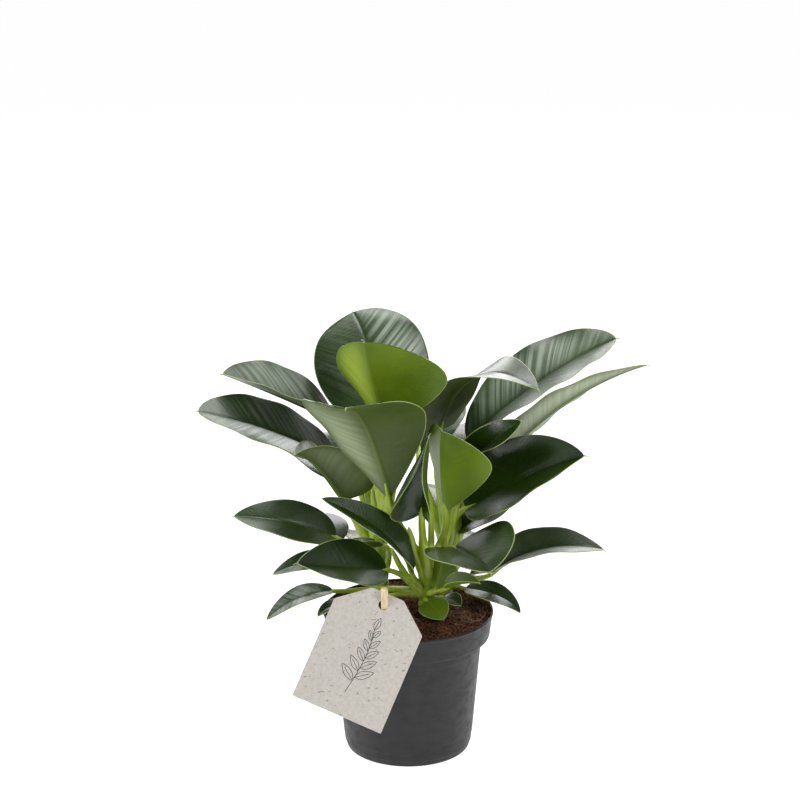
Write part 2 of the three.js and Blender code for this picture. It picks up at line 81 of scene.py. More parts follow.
@dataclass
class Skin:
    """Vertices, faces and per-vertex values of a mesh that is being put together, in millimetres."""

    points: list[np.ndarray] = field(default_factory=list)
    faces: list[tuple[int, ...]] = field(default_factory=list)
    slots: list[int] = field(default_factory=list)
    values: dict[str, list[np.ndarray]] = field(default_factory=dict)
    count: int = 0

    def add(self, points: np.ndarray, faces: Sequence[tuple[int, ...]], slots: Sequence[int] | None = None,
            **values: np.ndarray) -> None:
        """Adds a part of the mesh.

        Args:
            points: Its vertices, one row each.
            faces: Its faces, counted from the part's own first vertex.
            slots: The material slot of each face, or nothing for the first one.
            **values: One number for every vertex, for each named attribute.
        """
        self.points.append(points)
        self.faces.extend(tuple(self.count + i for i in face) for face in faces)
        self.slots.extend([0] * len(faces) if slots is None else slots)
        for name, numbers in values.items():
            self.values.setdefault(name, []).append(np.broadcast_to(numbers, len(points)))
        self.count += len(points)

    def to_object(self, name: str, materials: Sequence[bpy.types.Material]) -> bpy.types.Object:
        """Makes the object.

        Args:
            name: The object's name.
            materials: The materials for the slots, in order.

        Returns:
            A smooth-shaded object with its place in its mesh.
        """
        mesh = bpy.data.meshes.new(name)
        mesh.from_pydata((np.vstack(self.points) * MM).tolist(), [], self.faces)
        mesh.polygons.foreach_set("material_index", self.slots)
        mesh.polygons.foreach_set("use_smooth", [True] * len(mesh.polygons))
        for value_name, parts in self.values.items():
            attribute = mesh.attributes.new(value_name, "FLOAT", "POINT")
            attribute.data.foreach_set("value", np.concatenate(parts).astype(np.float32))
        for material in materials:
            mesh.materials.append(material)
        mesh.update()
        return linked(name, mesh)


def linked(name: str, data: bpy.types.ID) -> bpy.types.Object:
    """An object of its own for a mesh, curve, light or camera, in the scene's collection.

    Args:
        name: The object's name.
        data: The mesh, curve, light or camera.

    Returns:
        The object.
    """
    piece = bpy.data.objects.new(name, data)
    bpy.context.scene.collection.objects.link(piece)
    return piece


def loft_faces(rings: int, sides: int, slot_of: Callable[[int], int] = lambda at: 0) -> tuple[list, list]:
    """Quads between rings of points, with a flat cap at each end.

    Args:
        rings: How many rings.
        sides: Points in each ring.
        slot_of: The material slot of the strip that starts at a given side.

    Returns:
        The faces and their material slots.
    """
    faces: list[tuple[int, ...]] = []
    slots: list[int] = []
    for ring in range(rings - 1):
        for side in range(sides):
            a = ring * sides + side
            b = ring * sides + (side + 1) % sides
            faces.append((a, b, b + sides, a + sides))
            slots.append(slot_of(side))
    faces.append(tuple(reversed(range(sides))))
    faces.append(tuple(range((rings - 1) * sides, rings * sides)))
    slots += [slot_of(0), slot_of(0)]
    return faces, slots


def unit(vectors: np.ndarray) -> np.ndarray:
    """Vectors scaled to length one."""
    return vectors / np.maximum(np.linalg.norm(vectors, axis=-1, keepdims=True), 1e-9)


def bezier(points: Sequence[np.ndarray], t: np.ndarray) -> np.ndarray:
    """Points of a cubic Bezier curve.

    Args:
        points: Its four control points.
        t: Where along it, from 0 to 1.

    Returns:
        One point for each value of t.
    """
    t = t[:, None]
    weights = ((1 - t) ** 3, 3 * t * (1 - t) ** 2, 3 * t ** 2 * (1 - t), t ** 3)
    return sum(weight * point for weight, point in zip(weights, points))


def slopes(points: np.ndarray) -> np.ndarray:
    """Unit tangents along a run of points."""
    return unit(np.gradient(points, axis=0))


def carried(tangents: np.ndarray, start: np.ndarray) -> np.ndarray:
    """A direction carried along a path without twisting.

    Args:
        tangents: The path's unit tangents.
        start: The direction at the path's first point.

    Returns:
        One unit vector for each tangent, at right angles to it.
    """
    across = [start]
    for tangent in tangents:
        last = across[-1]
        across.append(unit(last - np.dot(last, tangent) * tangent))
    return np.array(across[1:])


def rings_along(path: np.ndarray, radii: np.ndarray, sides: int, start: np.ndarray,
                section: Callable[[np.ndarray], np.ndarray] = np.ones_like) -> np.ndarray:
    """Rings of points round a path.

    Args:
        path: The points that the rings are centred on.
        radii: A radius for each of them.
        sides: Points in each ring.
        start: The direction that the first ring's angles are counted from.
        section: Gives the share of the radius at each angle.

    Returns:
        All rings' points, one row each.
    """
    tangents = slopes(path)
    across = carried(tangents, start)
    other = np.cross(tangents, across)
    angles = np.linspace(0, 2 * math.pi, sides, endpoint=False)
    reach = section(angles)
    ring = np.cos(angles)[None, :, None] * across[:, None] + np.sin(angles)[None, :, None] * other[:, None]
    return (path[:, None] + ring * (radii[:, None] * reach[None])[..., None]).reshape(-1, 3)


def finish_piece(piece: bpy.types.Object, slot: str, *nodes: str) -> bpy.types.Object:
    """Makes a piece ride on the model and hides the solids that it stands for.

    Args:
        piece: The piece.
        slot: The name of its finish in the model's table. Not used.
        *nodes: The solids that it stands for.

    Returns:
        The same piece.
    """
    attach(piece, BODY)
    if nodes:
        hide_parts(*nodes)
    LOG.info("%s: %d faces", piece.name, len(piece.data.polygons))
    return piece


def flattened(piece: bpy.types.Object) -> bpy.types.Object:
    """Turns a piece with live modifiers into a plain mesh of the same name.

    Args:
        piece: The piece. It is used up.

    Returns:
        The plain piece.
    """
    graph = bpy.context.evaluated_depsgraph_get()
    mesh = bpy.data.meshes.new_from_object(piece.evaluated_get(graph))
    name = piece.name
    bpy.data.objects.remove(piece)
    mesh.name = name
    return linked(name, mesh)


# Materials


class NodeSheet:
    """A node tree that nodes are added to one by one."""

    tree: bpy.types.NodeTree

    def node(self, kind: str, **settings: object) -> bpy.types.Node:
        """Adds a node and sets its properties.

        Args:
            kind: The node's type.
            **settings: Its properties.

        Returns:
            The node.
        """
        made = self.tree.nodes.new(kind)
        for key, value in settings.items():
            setattr(made, key, value)
        return made


class Paint(NodeSheet):
    """A procedural material that is put together node by node."""

    def __init__(self, name: str, roughness: float, **constants: float) -> None:
        """Starts the material.

        Args:
            name: Its name.
            roughness: The shader's roughness.
            **constants: Other values of the shader's own sockets, with _ for a space.
        """
        self.material = bpy.data.materials.new(name)
        self.material.use_nodes = True
        self.tree = self.material.node_tree
        self.shader = self.tree.nodes["Principled BSDF"]
        self.shader.inputs["Roughness"].default_value = roughness
        for key, value in constants.items():
            self.shader.inputs[key.replace("_", " ")].default_value = value
        self.place = self.node("ShaderNodeTexCoord").outputs["Object"]

    def feed(self, socket: Socket, value: object) -> None:
        """Links a socket to another, or sets its value.

        Args:
            socket: The socket that is fed.
            value: A socket, a colour or a number.
        """
        if isinstance(value, bpy.types.NodeSocket):
            self.tree.links.new(value, socket)
        elif isinstance(value, tuple) and len(value) == 3 and socket.type == "RGBA":
            socket.default_value = (*value, 1)
        else:
            socket.default_value = value

    def attribute(self, name: str) -> Socket:
        """The value of one of the mesh's own attributes."""
        return self.node("ShaderNodeAttribute", attribute_name=name).outputs["Fac"]

    def math(self, operation: str, first: object, second: object = 0.0) -> Socket:
        """One step of arithmetic.

        Args:
            operation: The Math node's operation.
            first: A socket or a number.
            second: A socket or a number.

        Returns:
            The result.
        """
        made = self.node("ShaderNodeMath", operation=operation)
        self.feed(made.inputs[0], first)
        self.feed(made.inputs[1], second)
        return made.outputs[0]

    def spread(self, value: object, low: float, high: float, start: float = 0.0, end: float = 1.0) -> Socket:
        """Maps low to start and high to end, smoothly and without going past them.

        Args:
            value: The value that is mapped.
            low: Where the mapping starts.
            high: Where it ends.
            start: What low becomes.
            end: What high becomes.

        Returns:
            The mapped value.
        """
        made = self.node("ShaderNodeMapRange", interpolation_type="SMOOTHSTEP")
        for index, part in enumerate((value, low, high, start, end)):
            self.feed(made.inputs[index], part)
        return made.outputs[0]

    def mix(self, factor: object, first: object, second: object) -> Socket:
        """A blend of two colours.

        Args:
            factor: The share of the second colour.
            first: The first colour.
            second: The second colour.

        Returns:
            The blend.
        """
        made = self.node("ShaderNodeMix", data_type="RGBA")
        self.feed(made.inputs[0], factor)
        self.feed(made.inputs[6], first)
        self.feed(made.inputs[7], second)
        return made.outputs[2]

    def strands(self, place: Socket, spacing: float, detail: float = 2.0) -> Socket:
        """Uneven streaks across one direction, from 0 to 1.

        Args:
            place: The distance along that direction.
            spacing: How far apart the streaks are, in the same unit.
            detail: How many finer layers they have.

        Returns:
            The streaks' value.
        """
        made = self.node("ShaderNodeTexNoise", noise_dimensions="1D")
        made.inputs["Scale"].default_value = 1.0
        made.inputs["Detail"].default_value = detail
        self.feed(made.inputs["W"], self.math("DIVIDE", place, spacing))
        return made.outputs[0]

    def cloud(self, scale: float, detail: float = 3.0, stretch: Triple = (1, 1, 1), roughness: float = 0.5) -> Socket:
        """Noise over the object's own coordinates, from 0 to 1.

        Args:
            scale: Cells to the metre.
            detail: How many finer layers it has.
            stretch: A scale for each axis.
            roughness: The weight of the finer layers.

        Returns:
            The noise's value.
        """
        place = self.place
        if stretch != (1, 1, 1):
            mapping = self.node("ShaderNodeMapping")
            self.feed(mapping.inputs["Vector"], place)
            mapping.inputs["Scale"].default_value = stretch
            place = mapping.outputs[0]
        made = self.node("ShaderNodeTexNoise")
        self.feed(made.inputs["Vector"], place)
        made.inputs["Scale"].default_value = scale
        made.inputs["Detail"].default_value = detail
        made.inputs["Roughness"].default_value = roughness
        return made.outputs[0]

    def bump(self, height: Socket, strength: float, depth: float) -> None:
        """Adds relief to the shader's normal.

        Args:
            height: The relief, from 0 to 1.
            strength: How much of it is used.
            depth: Its depth in millimetres.
        """
        made = self.node("ShaderNodeBump")
        made.inputs["Strength"].default_value = strength
        made.inputs["Distance"].default_value = depth * MM
        self.feed(made.inputs["Height"], height)
        normal = self.shader.inputs["Normal"]
        if normal.is_linked:
            self.feed(made.inputs["Normal"], normal.links[0].from_socket)
        self.feed(normal, made.outputs[0])

    def finish(self, colour: object, roughness: object = None) -> bpy.types.Material:
        """Connects the colour and, where given, the roughness.

        Args:
            colour: The base colour.
            roughness: The roughness, if it varies.

        Returns:
            The finished material.
        """
        self.feed(self.shader.inputs["Base Color"], colour)
        if roughness is not None:
            self.feed(self.shader.inputs["Roughness"], roughness)
        return self.material


@dataclass(frozen=True)
class BladeFinish:
    """One face of a blade: its greens, its pale margin, its rib, its fine side veins and its painted highlight streaks.
    """

    name: str
    deep: Colour
    light: Colour
    rib: Colour
    rib_width: float
    roughness: float
    rib_tint: float = 0.85
    margin: Colour = (0.3, 0.38, 0.13)
    margin_width: float = 0.3
    vein_tint: float = 0.12
    vein_depth: float = 0.12
    coat: float = 0.0
    shine: float = 0.4
    vein_spacing: float = 1.5
    vein_slant: float = 0.75
    ripple_spacing: float = 2.6
    ripple_depth: float = 0.4
    # The colour of the painted highlight, and the spacing and least strength of its streaks: reflected light painted
    # into the face's colour as streaks along the side veins.
    bloom: Colour = (0.36, 0.44, 0.34)
    highlight_streak_spacing: float = 4.5
    highlight_streak_least: float = 0.15
    coat_roughness: float = 0.22
    wander_reach: float = 12
    vein_width: float = 0.3
    vein_roughness: float = 0.1
    grain_depth: float = 0.05

    def material(self) -> bpy.types.Material:
        """Builds the material from the blade's own attributes: across, along, edge, taper and the amount of painted
        highlight.

        Returns:
            The material.
        """
        paint = Paint(self.name, self.roughness, Coat_Weight=self.coat, Coat_Roughness=self.coat_roughness,
                      Specular_IOR_Level=self.shine)
        across = paint.math("ABSOLUTE", paint.attribute("across"))
        along = paint.attribute("along")
        edge = paint.attribute("edge")
        taper = paint.attribute("taper")
        patch = paint.cloud(28, 3)
        wander = paint.math("MULTIPLY", paint.cloud(9, 1), self.wander_reach)
        line = paint.math("ADD", paint.math("SUBTRACT", along, paint.math("MULTIPLY", across, self.vein_slant)), wander)
        to_vein = paint.math("PINGPONG", line, self.vein_spacing / 2)
        vein = paint.spread(to_vein, 0.0, self.vein_spacing * self.vein_width, 1, 0)
        grain = paint.cloud(900, 4)
        body = paint.mix(paint.spread(patch, 0.3, 0.7), self.deep, self.light)
        body = paint.mix(paint.math("MULTIPLY", vein, self.vein_tint), body, self.rib)
        # Painted highlight: streaks along the side veins, mixed into the colour by the leaf's own amount of painted
        # highlight, stand in for reflected light.
        streak = paint.spread(paint.strands(line, self.highlight_streak_spacing), 0.38, 0.62, self.highlight_streak_least, 1)
        painted_highlight_mask = paint.math("MULTIPLY", paint.attribute("bloom"), streak)
        body = paint.mix(painted_highlight_mask, body, self.bloom)
        near_rib = paint.math("MULTIPLY", taper, self.rib_width)
        rib = paint.spread(paint.math("SUBTRACT", across, near_rib), -0.25, 0.35, 1, 0)
        body = paint.mix(paint.math("MULTIPLY", rib, self.rib_tint), body, self.rib)
        margin = paint.spread(edge, self.margin_width * 0.55, self.margin_width * 1.5, 1, 0)
        colour = paint.mix(margin, body, self.margin)
        rough = paint.math("ADD", paint.spread(grain, 0.25, 0.75, self.roughness - 0.05, self.roughness + 0.07),
                           paint.math("MULTIPLY", vein, self.vein_roughness))
        ripple = paint.strands(line, self.ripple_spacing, 1)
        paint.bump(paint.math("MULTIPLY", ripple, paint.spread(paint.cloud(70, 2), 0.35, 0.7)), 0.5, self.ripple_depth)
        paint.bump(vein, 0.45, self.vein_depth)
        paint.bump(grain, 0.25, self.grain_depth)
        return paint.finish(colour, rough)


@dataclass(frozen=True)
class StalkFinish:
    """Smooth green stalk with long pale streaks."""

    name: str
    deep: Colour
    light: Colour
    roughness: float = 0.42

    def material(self) -> bpy.types.Material:
        """Builds the material.

        Returns:
            The material.
        """
        paint = Paint(self.name, self.roughness, Coat_Weight=0.15, Coat_Roughness=0.25)
        streak = paint.cloud(260, 3, (1, 1, 0.12))
        patch = paint.cloud(35, 2)
        body = paint.mix(paint.spread(streak, 0.35, 0.68), self.deep, self.light)
        body = paint.mix(paint.spread(patch, 0.4, 0.75, 0, 0.5), body, self.deep)
        paint.bump(streak, 0.3, 0.12)
        paint.bump(paint.cloud(1400, 2), 0.15, 0.04)
        return paint.finish(body, paint.spread(streak, 0.3, 0.7, self.roughness - 0.06, self.roughness + 0.08))


@dataclass(frozen=True)
class PlasticFinish:
    """Matte moulded plastic with a fine grain, dull scuffs and a little dust."""

    name: str = "matte_pot_plastic"
    deep: Colour = (0.004, 0.004, 0.0045)
    light: Colour = (0.007, 0.007, 0.0075)
    dust: Colour = (0.05, 0.049, 0.047)
    roughness: float = 0.5

    def material(self) -> bpy.types.Material:
        """Builds the material.

        Returns:
            The material.
        """
        paint = Paint(self.name, self.roughness)
        grain = paint.cloud(2600, 3)
        patch = paint.cloud(24, 4)
        scuff = paint.cloud(120, 5, (1, 1, 1.6), 0.65)
        speck = paint.cloud(420, 1)
        colour = paint.mix(paint.spread(patch, 0.3, 0.7), self.deep, self.light)
        colour = paint.mix(paint.spread(scuff, 0.66, 0.8, 0, 0.16), colour, self.dust)
        colour = paint.mix(paint.spread(speck, 0.77, 0.82, 0, 0.7), colour, self.dust)
        paint.bump(grain, 0.35, 0.06)
        paint.bump(scuff, 0.12, 0.1)
        return paint.finish(colour, paint.spread(scuff, 0.35, 0.75, self.roughness - 0.06, self.roughness + 0.12))


@dataclass(frozen=True)
class CardFinish:
    """Uncoated recycled card with short grey and brown fibres pressed into it."""

    name: str = "recycled_card"
    light: Colour = (0.6, 0.57, 0.53)
    warm: Colour = (0.53, 0.49, 0.44)
    fibre: Colour = (0.3, 0.26, 0.22)

    def material(self) -> bpy.types.Material:
        """Builds the material.

        Returns:
            The material.
        """
        paint = Paint(self.name, 0.85)
        pulp = paint.cloud(420, 5, (1, 1, 1), 0.7)
        hair = paint.cloud(900, 2, (1, 0.4, 0.4))
        fleck = paint.cloud(520, 1, (0.6, 1, 1))
        colour = paint.mix(paint.spread(pulp, 0.35, 0.65), self.light, self.warm)
        colour = paint.mix(paint.spread(hair, 0.68, 0.78, 0, 0.3), colour, self.fibre)
        colour = paint.mix(paint.spread(fleck, 0.69, 0.73, 0, 0.85), colour, self.fibre)
        paint.bump(pulp, 0.4, 0.08)
        return paint.finish(colour)


@dataclass(frozen=True)
class WoodFinish:
    """Pale bare wood with fine long grain."""

    name: str = "pale_peg_wood"
    light: Colour = (0.8, 0.66, 0.43)
    dark: Colour = (0.6, 0.44, 0.24)

    def material(self) -> bpy.types.Material:
        """Builds the material.

        Returns:
            The material.
        """
        paint = Paint(self.name, 0.6)
        grain = paint.cloud(1500, 4, (1, 1, 0.05), 0.6)
        colour = paint.mix(paint.spread(grain, 0.4, 0.7), self.light, self.dark)
        paint.bump(grain, 0.5, 0.1)
        return paint.finish(colour)


@dataclass(frozen=True)
class EarthFinish:
    """Dark damp peat, or the coir and roots in it, with a colour that changes from bit to bit."""

    name: str
    dark: Colour
    warm: Colour
    roughness: float = 0.9
    patch_scale: float = 160

    def material(self) -> bpy.types.Material:
        """Builds the material.

        Returns:
            The material.
        """
        paint = Paint(self.name, self.roughness, Specular_IOR_Level=0.2)
        patch = paint.cloud(self.patch_scale, 4, (1, 1, 1), 0.65)
        grain = paint.cloud(1600, 4, (1, 1, 1), 0.7)
        colour = paint.mix(paint.spread(patch, 0.32, 0.68), self.dark, self.warm)
        colour = paint.mix(paint.spread(grain, 0.5, 0.8, 0, 0.6), colour, self.dark)
        paint.bump(grain, 0.7, 0.5)
        return paint.finish(colour)


@dataclass(frozen=True)
class PlainFinish:
    """A flat colour for the floor and for the thin lines printed on the card."""

    name: str
    colour: Colour
    roughness: float
    glow: float = 0.0

    def material(self) -> bpy.types.Material:
        """Builds the material, with the faintest mottling.

        Returns:
            The material.
        """
        paint = Paint(self.name, self.roughness, Emission_Strength=self.glow)
        paint.shader.inputs["Emission Color"].default_value = (1, 1, 1, 1)
        darker = tuple(part * 0.96 for part in self.colour)
        return paint.finish(paint.mix(paint.cloud(60, 2), self.colour, darker))


# Leaves


class Outline(Enum):
    """Powers of t and 1 - t that set a blade's half width along its midrib."""

    OVATE = (0.5, 0.8)
    BROAD = (0.5, 0.45)
    OVAL = (0.55, 0.6)
    LONG = (0.65, 0.6)
    HEART = (0.4, 0.8)
    KITE = (0.9, 0.75)
    FAN = (1, 0.36)


class Stem(Enum):
    """The three rooted stems: foot, top, and radius at foot and top."""

    FRONT = ((11, -3, 78), (14, -6, 136), (6.4, 4.6))
    RIGHT = ((25, 19, 78), (29, 17, 150), (5.8, 4.0))
    LEFT = ((-17, 15, 78), (-20, 13, 152), (5.8, 4.0))

    def point(self, height: float) -> np.ndarray:
        """The stem's middle at a height."""
        foot, top = np.array(self.value[0], float), np.array(self.value[1], float)
        return foot + (top - foot) * (height - foot[2]) / (top[2] - foot[2])


@dataclass(frozen=True)
class LeafForm:
    """One leaf: where it grows, how its blade lies, its shape and the painted highlight on each half of its blade."""

    stem: Stem
    rise: float
    base: Triple
    tip: Triple
    face: Triple
    width: float
    bow: Pair = (8, 8)
    sway: Pair = (0, 0)
    fold: Pair = (20, 10)
    curl: Pair = (0, 0)
    twist: Pair = (0, 0)
    sweep: Pair = (0, 0)
    outline: Outline = Outline.OVATE
    stalk: Pair = (3.5, 2.2)
    young: bool = False
    # Amount of painted highlight on the left and right halves of the blade, standing in for light that catches them.
    bloom: Pair = (0, 0)


FRONT, RIGHT, LEFT = Stem.FRONT, Stem.RIGHT, Stem.LEFT
# The last pair of some leaves gives the painted highlight on the left and right halves of the blade.
LEAVES: tuple[LeafForm, ...] = (
    LeafForm(LEFT, 146, (-20, 32, 224), (-41, 80, 299), (12, -85, 50), 81, bow=(4, 14), sway=(6, 6), fold=(4, 2),
             curl=(-10, -10), outline=Outline.BROAD, bloom=(0.1, 0.95)),
    LeafForm(LEFT, 150, (-14, 2, 234), (-31, -8, 301), (55, 83, 10), 100, bow=(-4, -2), fold=(30, 26),
             sweep=(0.35, 0.2), outline=Outline.FAN, young=True, bloom=(0.0, 0.95)),
    LeafForm(FRONT, 132, (-13, -14, 187), (-42, -64, 267), (-2, 80, 50), 84, bow=(26, 32), fold=(2, -6), curl=(0, 55),
             sweep=(0.33, 0.22), outline=Outline.FAN, bloom=(0.0, 0.85)),
    LeafForm(LEFT, 134, (-53, 74, 217), (-136, 60, 257), (-5, -10, 90), 62, bow=(2, 2), fold=(24, 24),
             sweep=(0, -0.25), bloom=(0.3, 0.5)),
    LeafForm(LEFT, 138, (-50, 66, 188), (-152, 36, 236), (30, -25, 75), 56, bow=(8, 8), fold=(12, 14),
             outline=Outline.OVAL, bloom=(0.5, 0.2)),
    LeafForm(LEFT, 126, (-46, 27, 172), (-81, 2, 215), (78, 115, 95), 58, bow=(4, 10), fold=(56, 50), sweep=(0.45, 0),
             outline=Outline.HEART, bloom=(0.5, 0.3)),
    LeafForm(FRONT, 128, (9, -23, 180), (13, -36, 241), (-65, -65, -5), 48, bow=(2, -4), fold=(0, 60), curl=(100, 20),
             twist=(-10, 0), sweep=(0.8, 0.2), outline=Outline.OVATE),
    LeafForm(RIGHT, 146, (22, 40, 221), (90, -22, 266), (-45, 35, 80), 64, bow=(33, 35), fold=(0, 14), twist=(0, 5),
             sweep=(0.25, 0.3), outline=Outline.HEART),
    LeafForm(RIGHT, 144, (42, 38, 214), (152, 66, 282), (-60, -35, 75), 66, bow=(6, 2), sway=(-2, -12), fold=(24, 14),
             outline=Outline.LONG, bloom=(0.55, 0.15)),
    LeafForm(RIGHT, 138, (69, 42, 201), (166, 0, 280), (-40, 45, 75), 56, bow=(12, 12), fold=(10, 10),
             bloom=(0.95, 0.95)),
    LeafForm(RIGHT, 132, (38, 16, 201), (78, -14, 244), (-70, -30, 30), 26, bow=(2, 2), fold=(80, -5),
             outline=Outline.OVATE),
    LeafForm(FRONT, 124, (40, 12, 171), (125, -4, 216), (-30, -45, 75), 64, bow=(3, 6), sway=(0, -4), fold=(18, 28)),
    LeafForm(FRONT, 134, (26, -8, 176), (23, -14, 240), (82, 57, 10), 78, bow=(0, 0), sway=(4, 4), fold=(25, 22),
             sweep=(-0.15, 0), outline=Outline.KITE, young=True),
    LeafForm(RIGHT, 122, (35, 16, 152), (77, 20, 175), (-20, -20, 90), 36, bow=(4, 4), fold=(20, 0),
             stalk=(2.6, 1.7)),
    LeafForm(FRONT, 113, (19, -15, 121), (24, -18, 147), (30, 85, -10), 24, bow=(2, 2), fold=(30, 20),
             outline=Outline.OVAL, stalk=(2.2, 1.5), young=True),
    LeafForm(LEFT, 120, (-51, 14, 149), (-124, 0, 170), (-5, -50, 80), 35, bow=(9, 7), fold=(14, 10),
             stalk=(2.6, 1.7)),
    LeafForm(FRONT, 112, (2, -14, 134), (-60, -42, 198), (60, -40, 60), 27, bow=(16, 12), fold=(36, 16),
             stalk=(2.6, 1.7)),
    LeafForm(LEFT, 112, (-18, 3, 147), (-61, -10, 137), (-5, 20, 90), 28, bow=(4, 10), fold=(24, 14),
             stalk=(2.4, 1.6)),
    LeafForm(FRONT, 111, (-15, -16, 136), (-78, -50, 154), (-10, -60, 70), 39, bow=(0, 0), fold=(16, 30),
             stalk=(2.6, 1.7)),
    LeafForm(LEFT, 110, (-46, 6, 134), (-96, 0, 126), (-10, -30, 80), 20, bow=(7, 7), fold=(16, 10),
             stalk=(2.2, 1.5)),
    LeafForm(FRONT, 113, (-52, -20, 122), (-98, -40, 108), (-10, -20, 80), 20, bow=(9, 8), fold=(16, 10),
             stalk=(2.2, 1.5), bloom=(0.4, 0.5)),
    LeafForm(FRONT, 112, (-42, -25, 115), (-63, -36, 109), (-10, -10, 90), 14, bow=(4, 4), fold=(10, 10),
             stalk=(1.8, 1.2)),
    LeafForm(RIGHT, 113, (60, 10, 124), (140, 0, 144), (-10, -12, 90), 44, bow=(16, 14), fold=(24, 10),
             stalk=(2.6, 1.7)),
    LeafForm(FRONT, 118, (32, -6, 149), (57, -58, 148), (-26, -12, 92), 66, bow=(2, 6), fold=(29, 24),
             sweep=(-0.5, -0.1), outline=Outline.OVATE, stalk=(2.6, 1.7)),
    LeafForm(RIGHT, 111, (40, -2, 117), (79, -16, 103), (0, -20, 90), 22, bow=(6, 10), fold=(10, 10),
             stalk=(2.0, 1.4)),
    LeafForm(FRONT, 113, (26, -25, 126), (50, -34, 133), (-10, -30, 90), 16, bow=(3, 3), fold=(50, 50),
             stalk=(2.0, 1.5), young=True),
    LeafForm(RIGHT, 112, (43, -3, 127), (61, -10, 132), (-10, -20, 90), 12, bow=(4, 4), fold=(16, 10),
             stalk=(1.8, 1.3)),
    LeafForm(FRONT, 110, (13, -16, 113), (25, -34, 105), (0, -50, 80), 20, bow=(3, 3), fold=(0, 0), stalk=(1.8, 1.3),
             young=True),
    LeafForm(FRONT, 109, (25, -9, 113), (37, -19, 110), (10, -30, 90), 14, bow=(2, 2), fold=(10, 10),
             stalk=(1.8, 1.2)),
    LeafForm(LEFT, 140, (-26, 62, 226), (-40, 152, 256), (0, -20, 90), 70, bow=(14, 12), fold=(20, 12)),
    LeafForm(RIGHT, 136, (8, 60, 196), (16, 146, 214), (0, -15, 90), 64, bow=(14, 12), fold=(20, 12)),
    LeafForm(RIGHT, 132, (46, 62, 184), (80, 138, 192), (-20, -20, 90), 58, bow=(12, 12), fold=(20, 12)),
    LeafForm(LEFT, 130, (-52, 54, 178), (-98, 116, 188), (20, -20, 90), 56, bow=(12, 12), fold=(20, 12)),
    LeafForm(LEFT, 116, (-50, 46, 134), (-96, 98, 120), (10, -10, 90), 44, bow=(12, 12), fold=(16, 10),
             stalk=(2.6, 1.7)),
    LeafForm(LEFT, 114, (-26, 52, 126), (-38, 120, 106), (0, -5, 90), 42, bow=(14, 14), fold=(16, 10),
             stalk=(2.6, 1.7)),
    LeafForm(RIGHT, 115, (44, 50, 124), (76, 106, 102), (-10, -5, 90), 44, bow=(14, 14), fold=(16, 10),
             stalk=(2.6, 1.7)),
    LeafForm(RIGHT, 122, (24, 56, 152), (30, 130, 144), (0, -5, 90), 48, bow=(12, 12), fold=(16, 10),
             stalk=(2.8, 1.8)),
)


class LeafFaces(Enum):
    """Material slots of a leaf."""

    TOP = 0
    UNDER = 1
    STALK = 2


